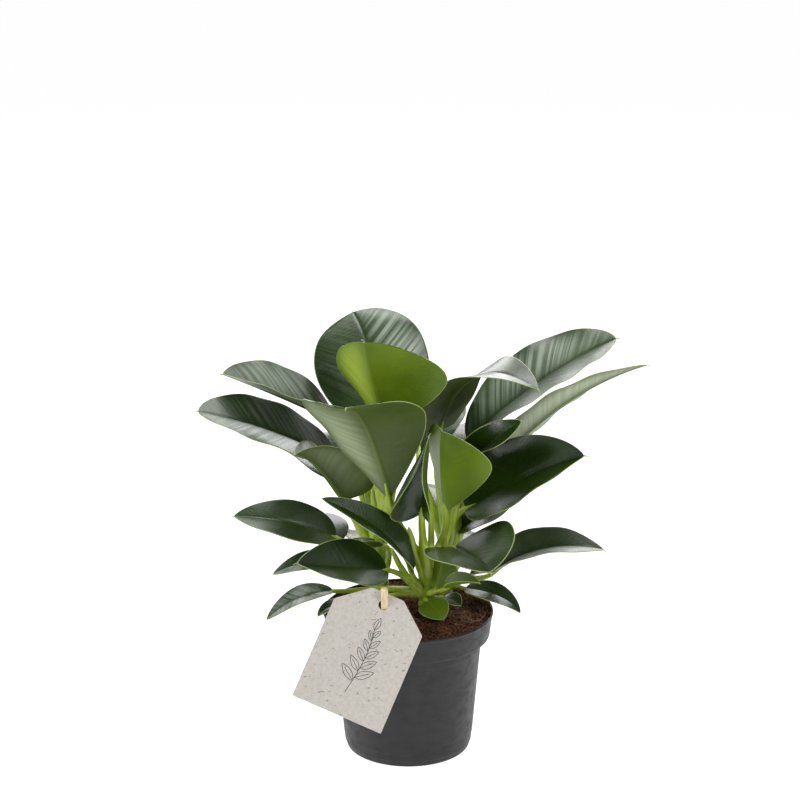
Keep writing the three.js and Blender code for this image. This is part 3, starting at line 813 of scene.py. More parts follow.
@dataclass
class Leaf:
    """A fine leaf: blade with rib and side veins, hooked tip, and channelled stalk."""

    name: str
    form: LeafForm
    row_length: float = 1.5
    column_width: float = 2.4
    middle_thickness: float = 0.9
    edge_thickness: float = 0.5
    tip_half_width: float = 0.55
    rib_height: float = 1.5
    rib_half_width: float = 2.0
    groove_depth: float = 0.45
    groove_half_width: float = 0.9
    quilt_height: float = 0.07
    quilt_spacing: float = 7.5
    quilt_slant: float = 0.75
    wave_height: float = 0.7
    hook_length: float = 4.5
    hook_steps: int = 7
    hook_reach: float = 0.97
    stalk_steps: int = 30
    stalk_sides: int = 16
    stalk_flare: float = 1.5
    sheath: float = 0.5
    sheath_end: float = 0.62
    rim_bulge: float = 0.22
    wave_length: float = 34
    full_relief_width: float = 26
    hook_turn: float = 70
    channel_depth: float = 0.26
    channel_width: float = 0.42

    def midrib(self) -> tuple[list[np.ndarray], np.ndarray, np.ndarray]:
        """The midrib's control points, its chord's direction and the way its upper side faces.

        Returns:
            Four control points, the chord's direction and the upper side's direction.
        """
        form = self.form
        base, tip = np.array(form.base, float), np.array(form.tip, float)
        chord = tip - base
        along = unit(chord)
        face = unit(np.array(form.face, float))
        up = unit(face - np.dot(face, along) * along)
        side = np.cross(along, up)
        controls = [base, base + chord / 3 + up * form.bow[0] + side * form.sway[0],
                    base + chord * 2 / 3 + up * form.bow[1] + side * form.sway[1], tip]
        controls[3] = tip - unit(tip - controls[2]) * self.hook_length * self.hook_reach * self.hook_size()
        return controls, along, up

    def hook_size(self) -> float:
        """How big the hook is, as a share: small leaves have small ones."""
        return min(1.0, self.form.width / 50)

    def half_width(self, t: np.ndarray) -> np.ndarray:
        """Half the blade's width at each t, from 0 at the base to 1 at the tip.

        Args:
            t: Where along the midrib.

        Returns:
            One half width for each t.
        """
        rise, fall = self.form.outline.value
        widest = rise / (rise + fall)
        peak = widest ** rise * (1 - widest) ** fall
        return self.form.width / 2 * t ** rise * (1 - t) ** fall / peak + self.tip_half_width

    def blade(self, skin: Skin) -> None:
        """Adds the blade and its hooked tip as one closed loft of flat rings.

        Args:
            skin: The mesh that is being put together.
        """
        form = self.form
        controls, chord, up0 = self.midrib()
        length = np.linalg.norm(controls[3] - controls[0])
        rows = int(np.clip(length / self.row_length, 22, 76))
        columns = int(np.clip(form.width / 2 / self.column_width, 6, 17))
        s = np.linspace(0, 1, rows)
        t = s - 0.8 * np.sin(2 * math.pi * s) / (2 * math.pi)
        centre = bezier(controls, t)
        tangent = slopes(bezier(controls, np.linspace(0, 1, 400)))[np.round(t * 399).astype(int)]
        turn = np.radians(form.twist[0] + (form.twist[1] - form.twist[0]) * t)[:, None]
        up = up0 * np.cos(turn) + np.cross(chord, up0) * np.sin(turn)
        up = unit(up - np.sum(up * tangent, axis=1, keepdims=True) * tangent)
        side = np.cross(tangent, up)
        along = np.concatenate([[0], np.cumsum(np.linalg.norm(np.diff(centre, axis=0), axis=1))])
        half = self.half_width(t)

        part = np.linspace(0, 1, columns + 1)
        reach = part - 0.6 * np.sin(2 * math.pi * part) / (2 * math.pi)
        u = np.concatenate([-reach[:0:-1], reach])
        hand = (u >= 0).astype(int)
        sign = np.where(u < 0, -1.0, 1.0)
        fold = np.radians(form.fold[0] + (form.fold[1] - form.fold[0]) * t)[:, None]
        bend = np.radians(np.array(form.curl))[hand][None] + 1e-6
        size = np.abs(u)[None]
        out = half[:, None] * (np.sin(fold + bend * size) - np.sin(fold)) / bend
        lift = half[:, None] * (np.cos(fold) - np.cos(fold + bend * size)) / bend
        back = half[:, None] * np.array(form.sweep)[hand][None] * size ** 2
        grid = (centre[:, None] + side[:, None] * (sign * out)[..., None] + up[:, None] * lift[..., None]
                - tangent[:, None] * back[..., None])

        across = sign * half[:, None] * size
        normal = unit(np.cross(np.gradient(grid, axis=1), np.gradient(grid, axis=0)))
        normal *= np.sign(np.sum(normal * up[:, None], axis=2, keepdims=True))
        seed = sum(map(ord, self.name))
        wave = np.sin(2 * math.pi * (along[:, None] / self.wave_length + 0.13 * seed + 0.31 * hand[None])) * size ** 3
        line = along[:, None] - self.quilt_slant * np.abs(across)
        quilt = np.abs(np.sin(math.pi * line / self.quilt_spacing)) * np.sin(math.pi * size) ** 0.5
        room = np.clip(half[:, None] / self.full_relief_width, 0, 1)
        relief = room * (self.wave_height * wave + self.quilt_height * quilt)
        grid = grid + normal * relief[..., None]

        taper = 1 - t
        rib = self.rib_height * room[:, 0] * (0.25 + 0.75 * taper)
        rib_width = self.rib_half_width * (0.3 + 0.7 * taper)
        thick = (self.middle_thickness + (self.edge_thickness - self.middle_thickness) * size) / 2
        groove = self.groove_depth * np.exp(-(across / self.groove_half_width) ** 2) * room
        ridge = rib[:, None] * np.exp(-(across / rib_width[:, None]) ** 2)
        top = grid + normal * (thick - groove)[..., None]
        under = grid - normal * (thick + ridge)[..., None]
        outward = side[:, None] * np.array([-1.0, 1.0])[None, :, None]
        rim = grid[:, [0, -1]] + outward * self.rim_bulge

        sides = 2 * len(u) + 2
        ring = np.concatenate([top, rim[:, 1:], under[:, ::-1], rim[:, :1]], axis=1)
        loft = self.values_round(across, half, size)
        hooked, hook_values = self.hook(centre[-1], tangent[-1], up[-1], side[-1], len(u))
        points = np.concatenate([ring.reshape(-1, 3), hooked])
        # Painted highlight: strongest in the middle of each half and halfway along the blade, none at the midrib, the
        # margin or the hook.
        highlight_amount = np.array(form.bloom)[hand][None] * np.sin(math.pi * size) * np.sin(math.pi * t)[:, None] ** 0.7
        bloom = np.concatenate([highlight_amount, highlight_amount[:, -1:], highlight_amount[:, ::-1], highlight_amount[:, :1]], axis=1)
        values = {
            "bloom": np.concatenate([bloom.ravel(), hook_values]),
            "across": np.concatenate([loft[0].ravel(), hook_values]),
            "edge": np.concatenate([loft[1].ravel(), hook_values]),
            "along": np.concatenate([np.repeat(along, sides), hook_values + along[-1]]),
            "taper": np.concatenate([np.repeat(taper, sides), hook_values]),
        }
        last_top = len(u)
        faces, slots = loft_faces(rows + self.hook_steps, sides,
                                  lambda at: LeafFaces.TOP.value if at < last_top else LeafFaces.UNDER.value)
        skin.add(points, faces, slots, **values)

    @staticmethod
    def values_round(across: np.ndarray, half: np.ndarray, size: np.ndarray) -> tuple[np.ndarray, np.ndarray]:
        """Signed distance from the midrib and distance from the margin, round each ring of the loft.

        Args:
            across: Signed distances from the midrib over one face.
            half: Half the blade's width at each row.
            size: The share of the half width at each column.

        Returns:
            Both values for every point of every ring.
        """
        edge = np.broadcast_to(half[:, None] * (1 - size), across.shape)
        nought = np.zeros((len(half), 1))
        return (np.concatenate([across, across[:, -1:], across[:, ::-1], across[:, :1]], axis=1),
                np.concatenate([edge, nought, edge[:, ::-1], nought], axis=1))

    def hook(self, tip: np.ndarray, tangent: np.ndarray, up: np.ndarray, side: np.ndarray,
             count: int) -> tuple[np.ndarray, np.ndarray]:
        """The small pale hook at the blade's tip.

        Args:
            tip: Where it starts.
            tangent: The midrib's direction there.
            up: The way the upper side faces there.
            side: The direction across the blade there.
            count: Points across one face of the blade's rings.

        Returns:
            The rings' points, and a nought for each, because the hook is all margin.
        """
        size = self.hook_size()
        step = self.hook_length * size / self.hook_steps
        rings = []
        place = tip
        for number in range(1, self.hook_steps + 1):
            share = number / self.hook_steps
            angle = math.radians(self.hook_turn) * share
            heading = tangent * math.cos(angle) - up * math.sin(angle)
            normal = up * math.cos(angle) + tangent * math.sin(angle)
            place = place + heading * step
            reach = (0.62 - 0.5 * share) * max(size, 0.6)
            across = np.linspace(-1, 1, count)[:, None]
            round_over = np.sqrt(np.clip(1 - across ** 2, 0, 1)) * reach * 0.8
            top = place + side * across * reach + normal * round_over
            under = (place + side * across * reach - normal * round_over)[::-1]
            rings.append(np.concatenate([top, [place + side * reach * 1.05], under, [place - side * reach * 1.05]]))
        points = np.concatenate(rings)
        return points, np.zeros(len(points))

    def stalk(self, skin: Skin) -> None:
        """Adds the stalk, which leaves the stem upwards and outwards and runs on under the blade.

        Args:
            skin: The mesh that is being put together.
        """
        form = self.form
        controls, _, up = self.midrib()
        start = form.stem.point(form.rise)
        base = controls[0]
        reach = np.linalg.norm(base - start)
        outward = unit((base - start) * np.array([1, 1, 0]))
        leave = unit(outward * 0.55 + np.array([0, 0, max(0.25, (base[2] - start[2]) / reach)]))
        into = unit(controls[1] - controls[0])
        run = bezier([start, start + leave * reach * 0.4, base - into * reach * 0.3, base],
                     np.linspace(0, 1, self.stalk_steps))
        ahead = bezier(controls, np.linspace(0.02, 0.1, 4)) - up * 0.5
        path = np.concatenate([run, ahead])
        t = np.linspace(0, 1, len(run))
        thick, thin = form.stalk
        radii = thick + (thin - thick) * t + self.stalk_flare * np.clip(1 - 3 * t, 0, 1)
        radii = radii + self.sheath * np.clip((self.sheath_end - t) / 0.1, 0, 1) * min(1.0, thick / 3.5)
        radii = np.concatenate([radii, thin * np.linspace(0.85, 0.3, 4)])
        tangents = slopes(path)
        first = carried(tangents[::-1], up)[-1]

        def channelled(angles: np.ndarray) -> np.ndarray:
            """A round section with a shallow channel along its upper side."""
            angle = (angles + math.pi) % (2 * math.pi) - math.pi
            return 1 - self.channel_depth * np.exp(-(angle / self.channel_width) ** 2)

        points = rings_along(path, radii, self.stalk_sides, first, channelled)
        faces, slots = loft_faces(len(path), self.stalk_sides, lambda at: LeafFaces.STALK.value)
        skin.add(points, faces, slots, across=0.0, edge=9.0, along=0.0, taper=1.0, bloom=0.0)

    def build(self, mature: Sequence[bpy.types.Material], young: Sequence[bpy.types.Material]) -> bpy.types.Object:
        """Makes the leaf and puts it in its solid's place.

        Args:
            mature: Top, underside and stalk materials of a full-grown leaf.
            young: The same for a young one.

        Returns:
            The finished piece.
        """
        skin = Skin()
        self.blade(skin)
        self.stalk(skin)
        piece = skin.to_object(f"{self.name}_fine", young if self.form.young else mature)
        return finish_piece(piece, "young_leaf" if self.form.young else "leaf", self.name)


@dataclass
class Foliage:
    """All the leaves, with the finishes that they share."""

    # Each finish has its own painted highlight colour: silver on mature tops, a pale grey-green for the lit half of
    # undersides and a bright lime highlight on young leaves.
    top: BladeFinish = BladeFinish("leaf_top", (0.007, 0.02, 0.0005), (0.016, 0.042, 0.001),
                                   (0.03, 0.07, 0.006), 0.45, 0.3, rib_tint=0.4, coat=0.35)
    under: BladeFinish = BladeFinish("leaf_underside", (0.035, 0.06, 0.006), (0.06, 0.09, 0.014),
                                     (0.14, 0.2, 0.04), 1.7, 0.42, rib_tint=0.5, vein_tint=0.2,
                                     bloom=(0.36, 0.42, 0.25), highlight_streak_least=0.75)
    young_top: BladeFinish = BladeFinish("young_leaf_top", (0.065, 0.125, 0.0006), (0.11, 0.185, 0.0012),
                                         (0.2, 0.3, 0.02), 0.6, 0.34, rib_tint=0.4, coat=0.15,
                                         bloom=(0.42, 0.56, 0.06), highlight_streak_least=0.8)
    young_under: BladeFinish = BladeFinish("young_leaf_underside", (0.075, 0.14, 0.0012), (0.14, 0.22, 0.004),
                                           (0.24, 0.34, 0.02), 1.4, 0.38, rib_tint=0.35, vein_tint=0.2,
                                           bloom=(0.42, 0.56, 0.06), highlight_streak_least=0.8)
    stalk: StalkFinish = StalkFinish("leaf_stalk", (0.3, 0.42, 0.012), (0.42, 0.52, 0.1))

    def build(self) -> None:
        """Makes every leaf."""
        stalk = self.stalk.material()
        mature = [self.top.material(), self.under.material(), stalk]
        young = [self.young_top.material(), self.young_under.material(), stalk]
        for number, form in enumerate(LEAVES, 1):
            Leaf(f"leaf_{number:02d}", form).build(mature, young)
        Shoots().build(stalk)


@dataclass(frozen=True)
class Shoot:
    """A rolled young leaf or a bare sheath that stands between the stalks."""

    foot: Triple
    bend: Triple
    tip: Triple
    girth: float


@dataclass
class Shoots:
    """Slender pointed shoots in the middle of the plant, each with the seam of its roll."""

    places: tuple[Shoot, ...] = (
        Shoot((14, -6, 128), (17, -13, 152), (15, -19, 188), 2.6),
        Shoot((12, -5, 120), (6, -12, 142), (0, -16, 168), 3.0),
        Shoot((15, -5, 118), (23, -10, 138), (26, -10, 160), 3.0),
        Shoot((27, 17, 132), (31, 10, 158), (35, 6, 186), 2.8),
        Shoot((-19, 13, 130), (-22, 6, 158), (-25, 2, 190), 2.8),
        Shoot((10, -3, 112), (-3, -9, 128), (-12, -9, 150), 2.6),
    )
    steps: int = 34
    sides: int = 18
    seam_depth: float = 0.16
    seam_width: float = 0.06
    turns: float = 1.1
    tip_radius: float = 0.12

    def build(self, material: bpy.types.Material) -> None:
        """Makes every shoot in one piece, in the stalks' own finish.

        Args:
            material: The stalks' finish.
        """
        skin = Skin()
        t = np.linspace(0, 1, self.steps)
        for shoot in self.places:
            foot, bend, tip = (np.array(spot, float) for spot in (shoot.foot, shoot.bend, shoot.tip))
            path = bezier([foot, (foot + 2 * bend) / 3, (tip + 2 * bend) / 3, tip], t)
            radii = shoot.girth * (1 - 0.25 * t) * np.sqrt(np.clip(1 - t ** 7, 0, 1)) + self.tip_radius
            points = rings_along(path, radii, self.sides, WIDTHWAYS).reshape(self.steps, self.sides, 3)
            around = np.linspace(0, 1, self.sides, endpoint=False)[None] - self.turns * t[:, None]
            seam = self.seam_depth * np.exp(-(((around + 0.25) % 1 - 0.5) / self.seam_width) ** 2)
            points = points + (path[:, None] - points) * seam[..., None]
            skin.add(points.reshape(-1, 3), *loft_faces(self.steps, self.sides))
        finish_piece(skin.to_object("rolled_shoots", [material]), "young_leaf")


@dataclass
class RootedStems:
    """The three short stems, ringed where old leaves have dropped."""

    sides: int = 28
    steps: int = 60
    ring_spacing: float = 8.5
    ring_height: float = 0.45
    ring_inset: float = 0.25
    end_shares: tuple[float, ...] = (0.95, 0.82, 0.6, 0.3)
    finish: StalkFinish = StalkFinish("ringed_stem", (0.2, 0.31, 0.01), (0.38, 0.48, 0.08), 0.5)

    def build(self) -> None:
        """Makes one piece for each stem."""
        material = self.finish.material()
        for stem in Stem:
            foot, top, (wide, narrow) = (np.array(part, float) for part in stem.value)
            share = np.linspace(0, 1, self.steps)
            path = foot + (top - foot) * share[:, None]
            radii = wide + (narrow - wide) * share
            ring = np.abs(np.sin(math.pi * path[:, 2] / self.ring_spacing)) ** 12
            radii = radii - self.ring_inset + self.ring_height * ring
            radii[-len(self.end_shares):] *= np.array(self.end_shares)
            skin = Skin()
            skin.add(rings_along(path, radii, self.sides, WIDTHWAYS), *loft_faces(self.steps, self.sides))
            name = f"stem_{stem.name.lower()}"
            finish_piece(skin.to_object(f"{name}_ringed", [material]), "stem", name)


# Geometry Nodes


class GrowthTree(NodeSheet):
    """A Geometry Nodes tree with named inputs, whose output is realized and given a material."""

    def __init__(self, name: str) -> None:
        """Starts the tree.

        Args:
            name: Its name.
        """
        self.tree = bpy.data.node_groups.new(name, "GeometryNodeTree")
        self.tree.interface.new_socket("Geometry", in_out="INPUT", socket_type="NodeSocketGeometry")
        self.tree.interface.new_socket("Geometry", in_out="OUTPUT", socket_type="NodeSocketGeometry")
        self.source = self.node("NodeGroupInput")
        self.sink = self.node("NodeGroupOutput")
        self.keys: dict[str, str] = {}

    def ask(self, name: str, kind: str, *sockets: Socket) -> None:
        """Adds a named input and joins it to the sockets that it sets.

        Args:
            name: The input's name.
            kind: What it holds, such as Float.
            *sockets: The sockets that it sets.
        """
        made = self.tree.interface.new_socket(name, in_out="INPUT", socket_type=f"NodeSocket{kind}")
        self.keys[name] = made.identifier
        for socket in sockets:
            self.link(self.source.outputs[name], socket)

    def link(self, output: Socket, socket: Socket) -> None:
        """Links an output to an input."""
        self.tree.links.new(output, socket)

    def close(self, geometry: Socket) -> None:
        """Realizes the geometry, sets its material and sends it out.

        Args:
            geometry: What the tree has made.
        """
        realize = self.node("GeometryNodeRealizeInstances")
        paint = self.node("GeometryNodeSetMaterial")
        self.link(geometry, realize.inputs[0])
        self.link(realize.outputs[0], paint.inputs["Geometry"])
        self.ask("Material", "Material", paint.inputs["Material"])
        self.link(paint.outputs[0], self.sink.inputs[0])

    def grow(self, host: bpy.types.Object, **values: object) -> bpy.types.Object:
        """Runs the tree on a host and returns the result as a plain mesh.

        Args:
            host: The object that the tree starts from. It is used up.
            **values: The named inputs' values.

        Returns:
            The plain piece, with the host's name.
        """
        modifier = host.modifiers.new("growth", "NODES")
        modifier.node_group = self.tree
        for name, value in values.items():
            modifier[self.keys[name]] = value
        return flattened(host)


def scatter_tree() -> GrowthTree:
    """Scatters a collection's shapes over a surface, each turned and sized at random.

    Returns:
        The tree, with inputs Density, Seed, Shapes, Smallest, Largest, Tilt and Material.
    """
    growth = GrowthTree("scatter_over_surface")
    points = growth.node("GeometryNodeDistributePointsOnFaces")
    growth.link(growth.source.outputs[0], points.inputs["Mesh"])
    growth.ask("Density", "Float", points.inputs["Density"])
    growth.ask("Seed", "Int", points.inputs["Seed"])
    shapes = growth.node("GeometryNodeCollectionInfo")
    shapes.inputs["Separate Children"].default_value = True
    shapes.inputs["Reset Children"].default_value = True
    growth.ask("Shapes", "Collection", shapes.inputs["Collection"])
    size = growth.node("FunctionNodeRandomValue", data_type="FLOAT")
    growth.ask("Smallest", "Float", size.inputs[2])
    growth.ask("Largest", "Float", size.inputs[3])
    turn = growth.node("FunctionNodeRandomValue", data_type="FLOAT_VECTOR")
    spin = growth.node("ShaderNodeCombineXYZ")
    growth.ask("Tilt", "Float", spin.inputs[0], spin.inputs[1])
    spin.inputs[2].default_value = math.pi
    back = growth.node("ShaderNodeVectorMath", operation="SCALE")
    growth.link(spin.outputs[0], back.inputs[0])
    back.inputs["Scale"].default_value = -1
    growth.link(back.outputs[0], turn.inputs[0])
    growth.link(spin.outputs[0], turn.inputs[1])
    place = growth.node("GeometryNodeInstanceOnPoints")
    place.inputs["Pick Instance"].default_value = True
    growth.link(points.outputs["Points"], place.inputs["Points"])
    growth.link(shapes.outputs[0], place.inputs["Instance"])
    growth.link(turn.outputs[0], place.inputs["Rotation"])
    growth.link(size.outputs[1], place.inputs["Scale"])
    growth.close(place.outputs[0])
    return growth


def sweep_tree() -> GrowthTree:
    """Gives every curve a round skin of an even radius.

    Returns:
        The tree, with inputs Sides, Radius and Material.
    """
    growth = GrowthTree("skin_along_curves")
    normals = growth.node("GeometryNodeSetCurveNormal")
    growth.link(growth.source.outputs[0], normals.inputs["Curve"])
    circle = growth.node("GeometryNodeCurvePrimitiveCircle")
    growth.ask("Sides", "Int", circle.inputs["Resolution"])
    growth.ask("Radius", "Float", circle.inputs["Radius"])
    sweep = growth.node("GeometryNodeCurveToMesh")
    sweep.inputs["Fill Caps"].default_value = True
    growth.link(normals.outputs[0], sweep.inputs["Curve"])
    growth.link(circle.outputs["Curve"], sweep.inputs["Profile Curve"])
    smooth = growth.node("GeometryNodeSetShadeSmooth")
    growth.link(sweep.outputs[0], smooth.inputs["Geometry"])
    growth.close(smooth.outputs[0])
    return growth


def curve_object(name: str, lines: Sequence[np.ndarray], closed: bool = False) -> bpy.types.Object:
    """An object of poly lines, in millimetres.

    Args:
        name: The object's name.
        lines: The points of each line.
        closed: Whether each line closes on itself.

    Returns:
        The object.
    """
    curve = bpy.data.curves.new(name, "CURVE")
    curve.dimensions = "3D"
    for line in lines:
        spline = curve.splines.new("POLY")
        spline.points.add(len(line) - 1)
        rows = np.concatenate([line * MM, np.ones((len(line), 1))], axis=1)
        spline.points.foreach_set("co", rows.ravel())
        spline.use_cyclic_u = closed
    return linked(name, curve)


# Pot and soil


def rounded(profile: Sequence[tuple[float, float, float]], steps: int = 5) -> np.ndarray:
    """A line through the profile's points with its corners rounded.

    Args:
        profile: Radius, height and corner radius of each point.
        steps: Points in each rounded corner.

    Returns:
        Radius and height of each point of the finished line.
    """
    spots = [np.array(point[:2], float) for point in profile]
    line = [spots[0]]
    for before, spot, after, (_, _, corner) in zip(spots, spots[1:], spots[2:], profile[1:]):
        first, second = before - spot, after - spot
        cut = min(corner, np.linalg.norm(first) * 0.45, np.linalg.norm(second) * 0.45)
        start, end = spot + unit(first) * cut, spot + unit(second) * cut
        for share in np.linspace(0, 1, steps):
            line.append(start * (1 - share) ** 2 + 2 * spot * share * (1 - share) + end * share ** 2)
    line.append(spots[-1])
    return np.array(line)


def turned(line: np.ndarray, sides: int) -> tuple[np.ndarray, list[tuple[int, ...]]]:
    """A closed shape turned about the upright axis from a line that starts and ends on the axis.

    Args:
        line: Radius and height of each point.
        sides: How many steps go round.

    Returns:
        The points and the faces.
    """
    inner = line[1:-1]
    angles = np.linspace(0, 2 * math.pi, sides, endpoint=False)
    ring = np.stack([np.cos(angles), np.sin(angles)], axis=1)
    rows = [np.column_stack([ring * radius, np.full(sides, height)]) for radius, height in inner]
    points = np.vstack([[[0, 0, line[0][1]]], *rows, [[0, 0, line[-1][1]]]])
    faces: list[tuple[int, ...]] = []
    top = len(points) - 1
    last = 1 + (len(inner) - 1) * sides
    for side in range(sides):
        after = (side + 1) % sides
        faces.append((0, 1 + after, 1 + side))
        faces.append((top, last + side, last + after))
        for row in range(len(inner) - 1):
            a, b = 1 + row * sides + side, 1 + row * sides + after
            faces.append((a, b, b + sides, a + sides))
    return points, faces


@dataclass
class NurseryPot:
    """A thin moulded pot with a deep rim band, a foot ring and drain holes."""

    height: float = 101
    rim_radius: float = 60
    rim_foot: float = 83.5
    rim_foot_radius: float = 57.5
    body_top_radius: float = 52
    base_radius: float = 44.5
    wall: float = 1.5
    floor: float = 2
    sides: int = 160
    drains: int = 8
    drain_radius: float = 3.2
    drain_circle: float = 33
    drain_sides: int = 24
    foot_ring: float = 4.4
    foot_step: float = 0.6
    line_heights: Pair = (9.5, 75.5)
    line_rise: Pair = (0.22, 0.3)
    finish: PlasticFinish = PlasticFinish()

    def profile(self) -> np.ndarray:
        """The line that the pot is turned from, from the middle of its underside round to its floor.

        Returns:
            Radius and height of each point of the line.
        """
        rim, foot, body, base = self.rim_radius, self.rim_foot, self.body_top_radius, self.base_radius
        slope = (body - base) / (foot - self.foot_ring)

        def faint_line(height: float) -> list[Triple]:
            """Two points of the body where a faint moulded line runs round it.

            Args:
                height: How high it runs.

            Returns:
                Radius, height and corner of both points.
            """
            radius = base + self.foot_step + slope * (height - self.foot_ring) * 0.92
            out, up = self.line_rise
            return [(radius, height, 0.2), (radius + out, height + up, 0.2)]

        outer = [
            (0, 0.6, 0), (36, 0.6, 0.5), (37, 0, 0.4), (base - 0.8, 0, 0.9),
            (base, 4, 0.3), (base + self.foot_step, self.foot_ring, 0.3),
            *faint_line(self.line_heights[0]), *faint_line(self.line_heights[1]),
            (body, foot - 3, 2.2), (body + 0.8, foot - 0.9, 0.8), (self.rim_foot_radius - 0.3, foot - 0.4, 0.7),
            (self.rim_foot_radius + 0.1, foot + 0.7, 0.6), (rim - 0.5, self.height - 2, 0.4),
            (rim, self.height - 1.4, 0.4), (rim - 0.1, self.height - 0.1, 0.6),
            (rim - self.wall, self.height - 0.1, 0.6),
        ]
        inner = [
            (self.rim_foot_radius - self.wall, foot + self.wall, 1), (body - self.wall, foot - 1, 1),
            (base - self.wall, self.floor, 1.5), (0, self.floor, 0),
        ]
        return rounded(outer + inner)

    def build(self) -> None:
        """Turns the pot and drills its drain holes."""
        points, faces = turned(self.profile(), self.sides)
        skin = Skin()
        skin.add(points, faces)
        pot = skin.to_object("pot_moulded", [self.finish.material()])
        drills = Skin()
        for hole in range(self.drains):
            angle = 2 * math.pi * hole / self.drains
            place = np.array([math.cos(angle), math.sin(angle), 0]) * self.drain_circle
            path = place + np.array([[0, 0, -4.0], [0, 0, 4.0], [0, 0, 12.0]])
            rings = rings_along(path, np.full(len(path), self.drain_radius), self.drain_sides, WIDTHWAYS)
            drills.add(rings, *loft_faces(len(path), self.drain_sides))
        drill = drills.to_object("drain_drills", [])
        cut = pot.modifiers.new("drains", "BOOLEAN")
        cut.operation = "DIFFERENCE"
        cut.object = drill
        pot = flattened(pot)
        bpy.data.objects.remove(drill)
        finish_piece(pot, "pot", "pot")


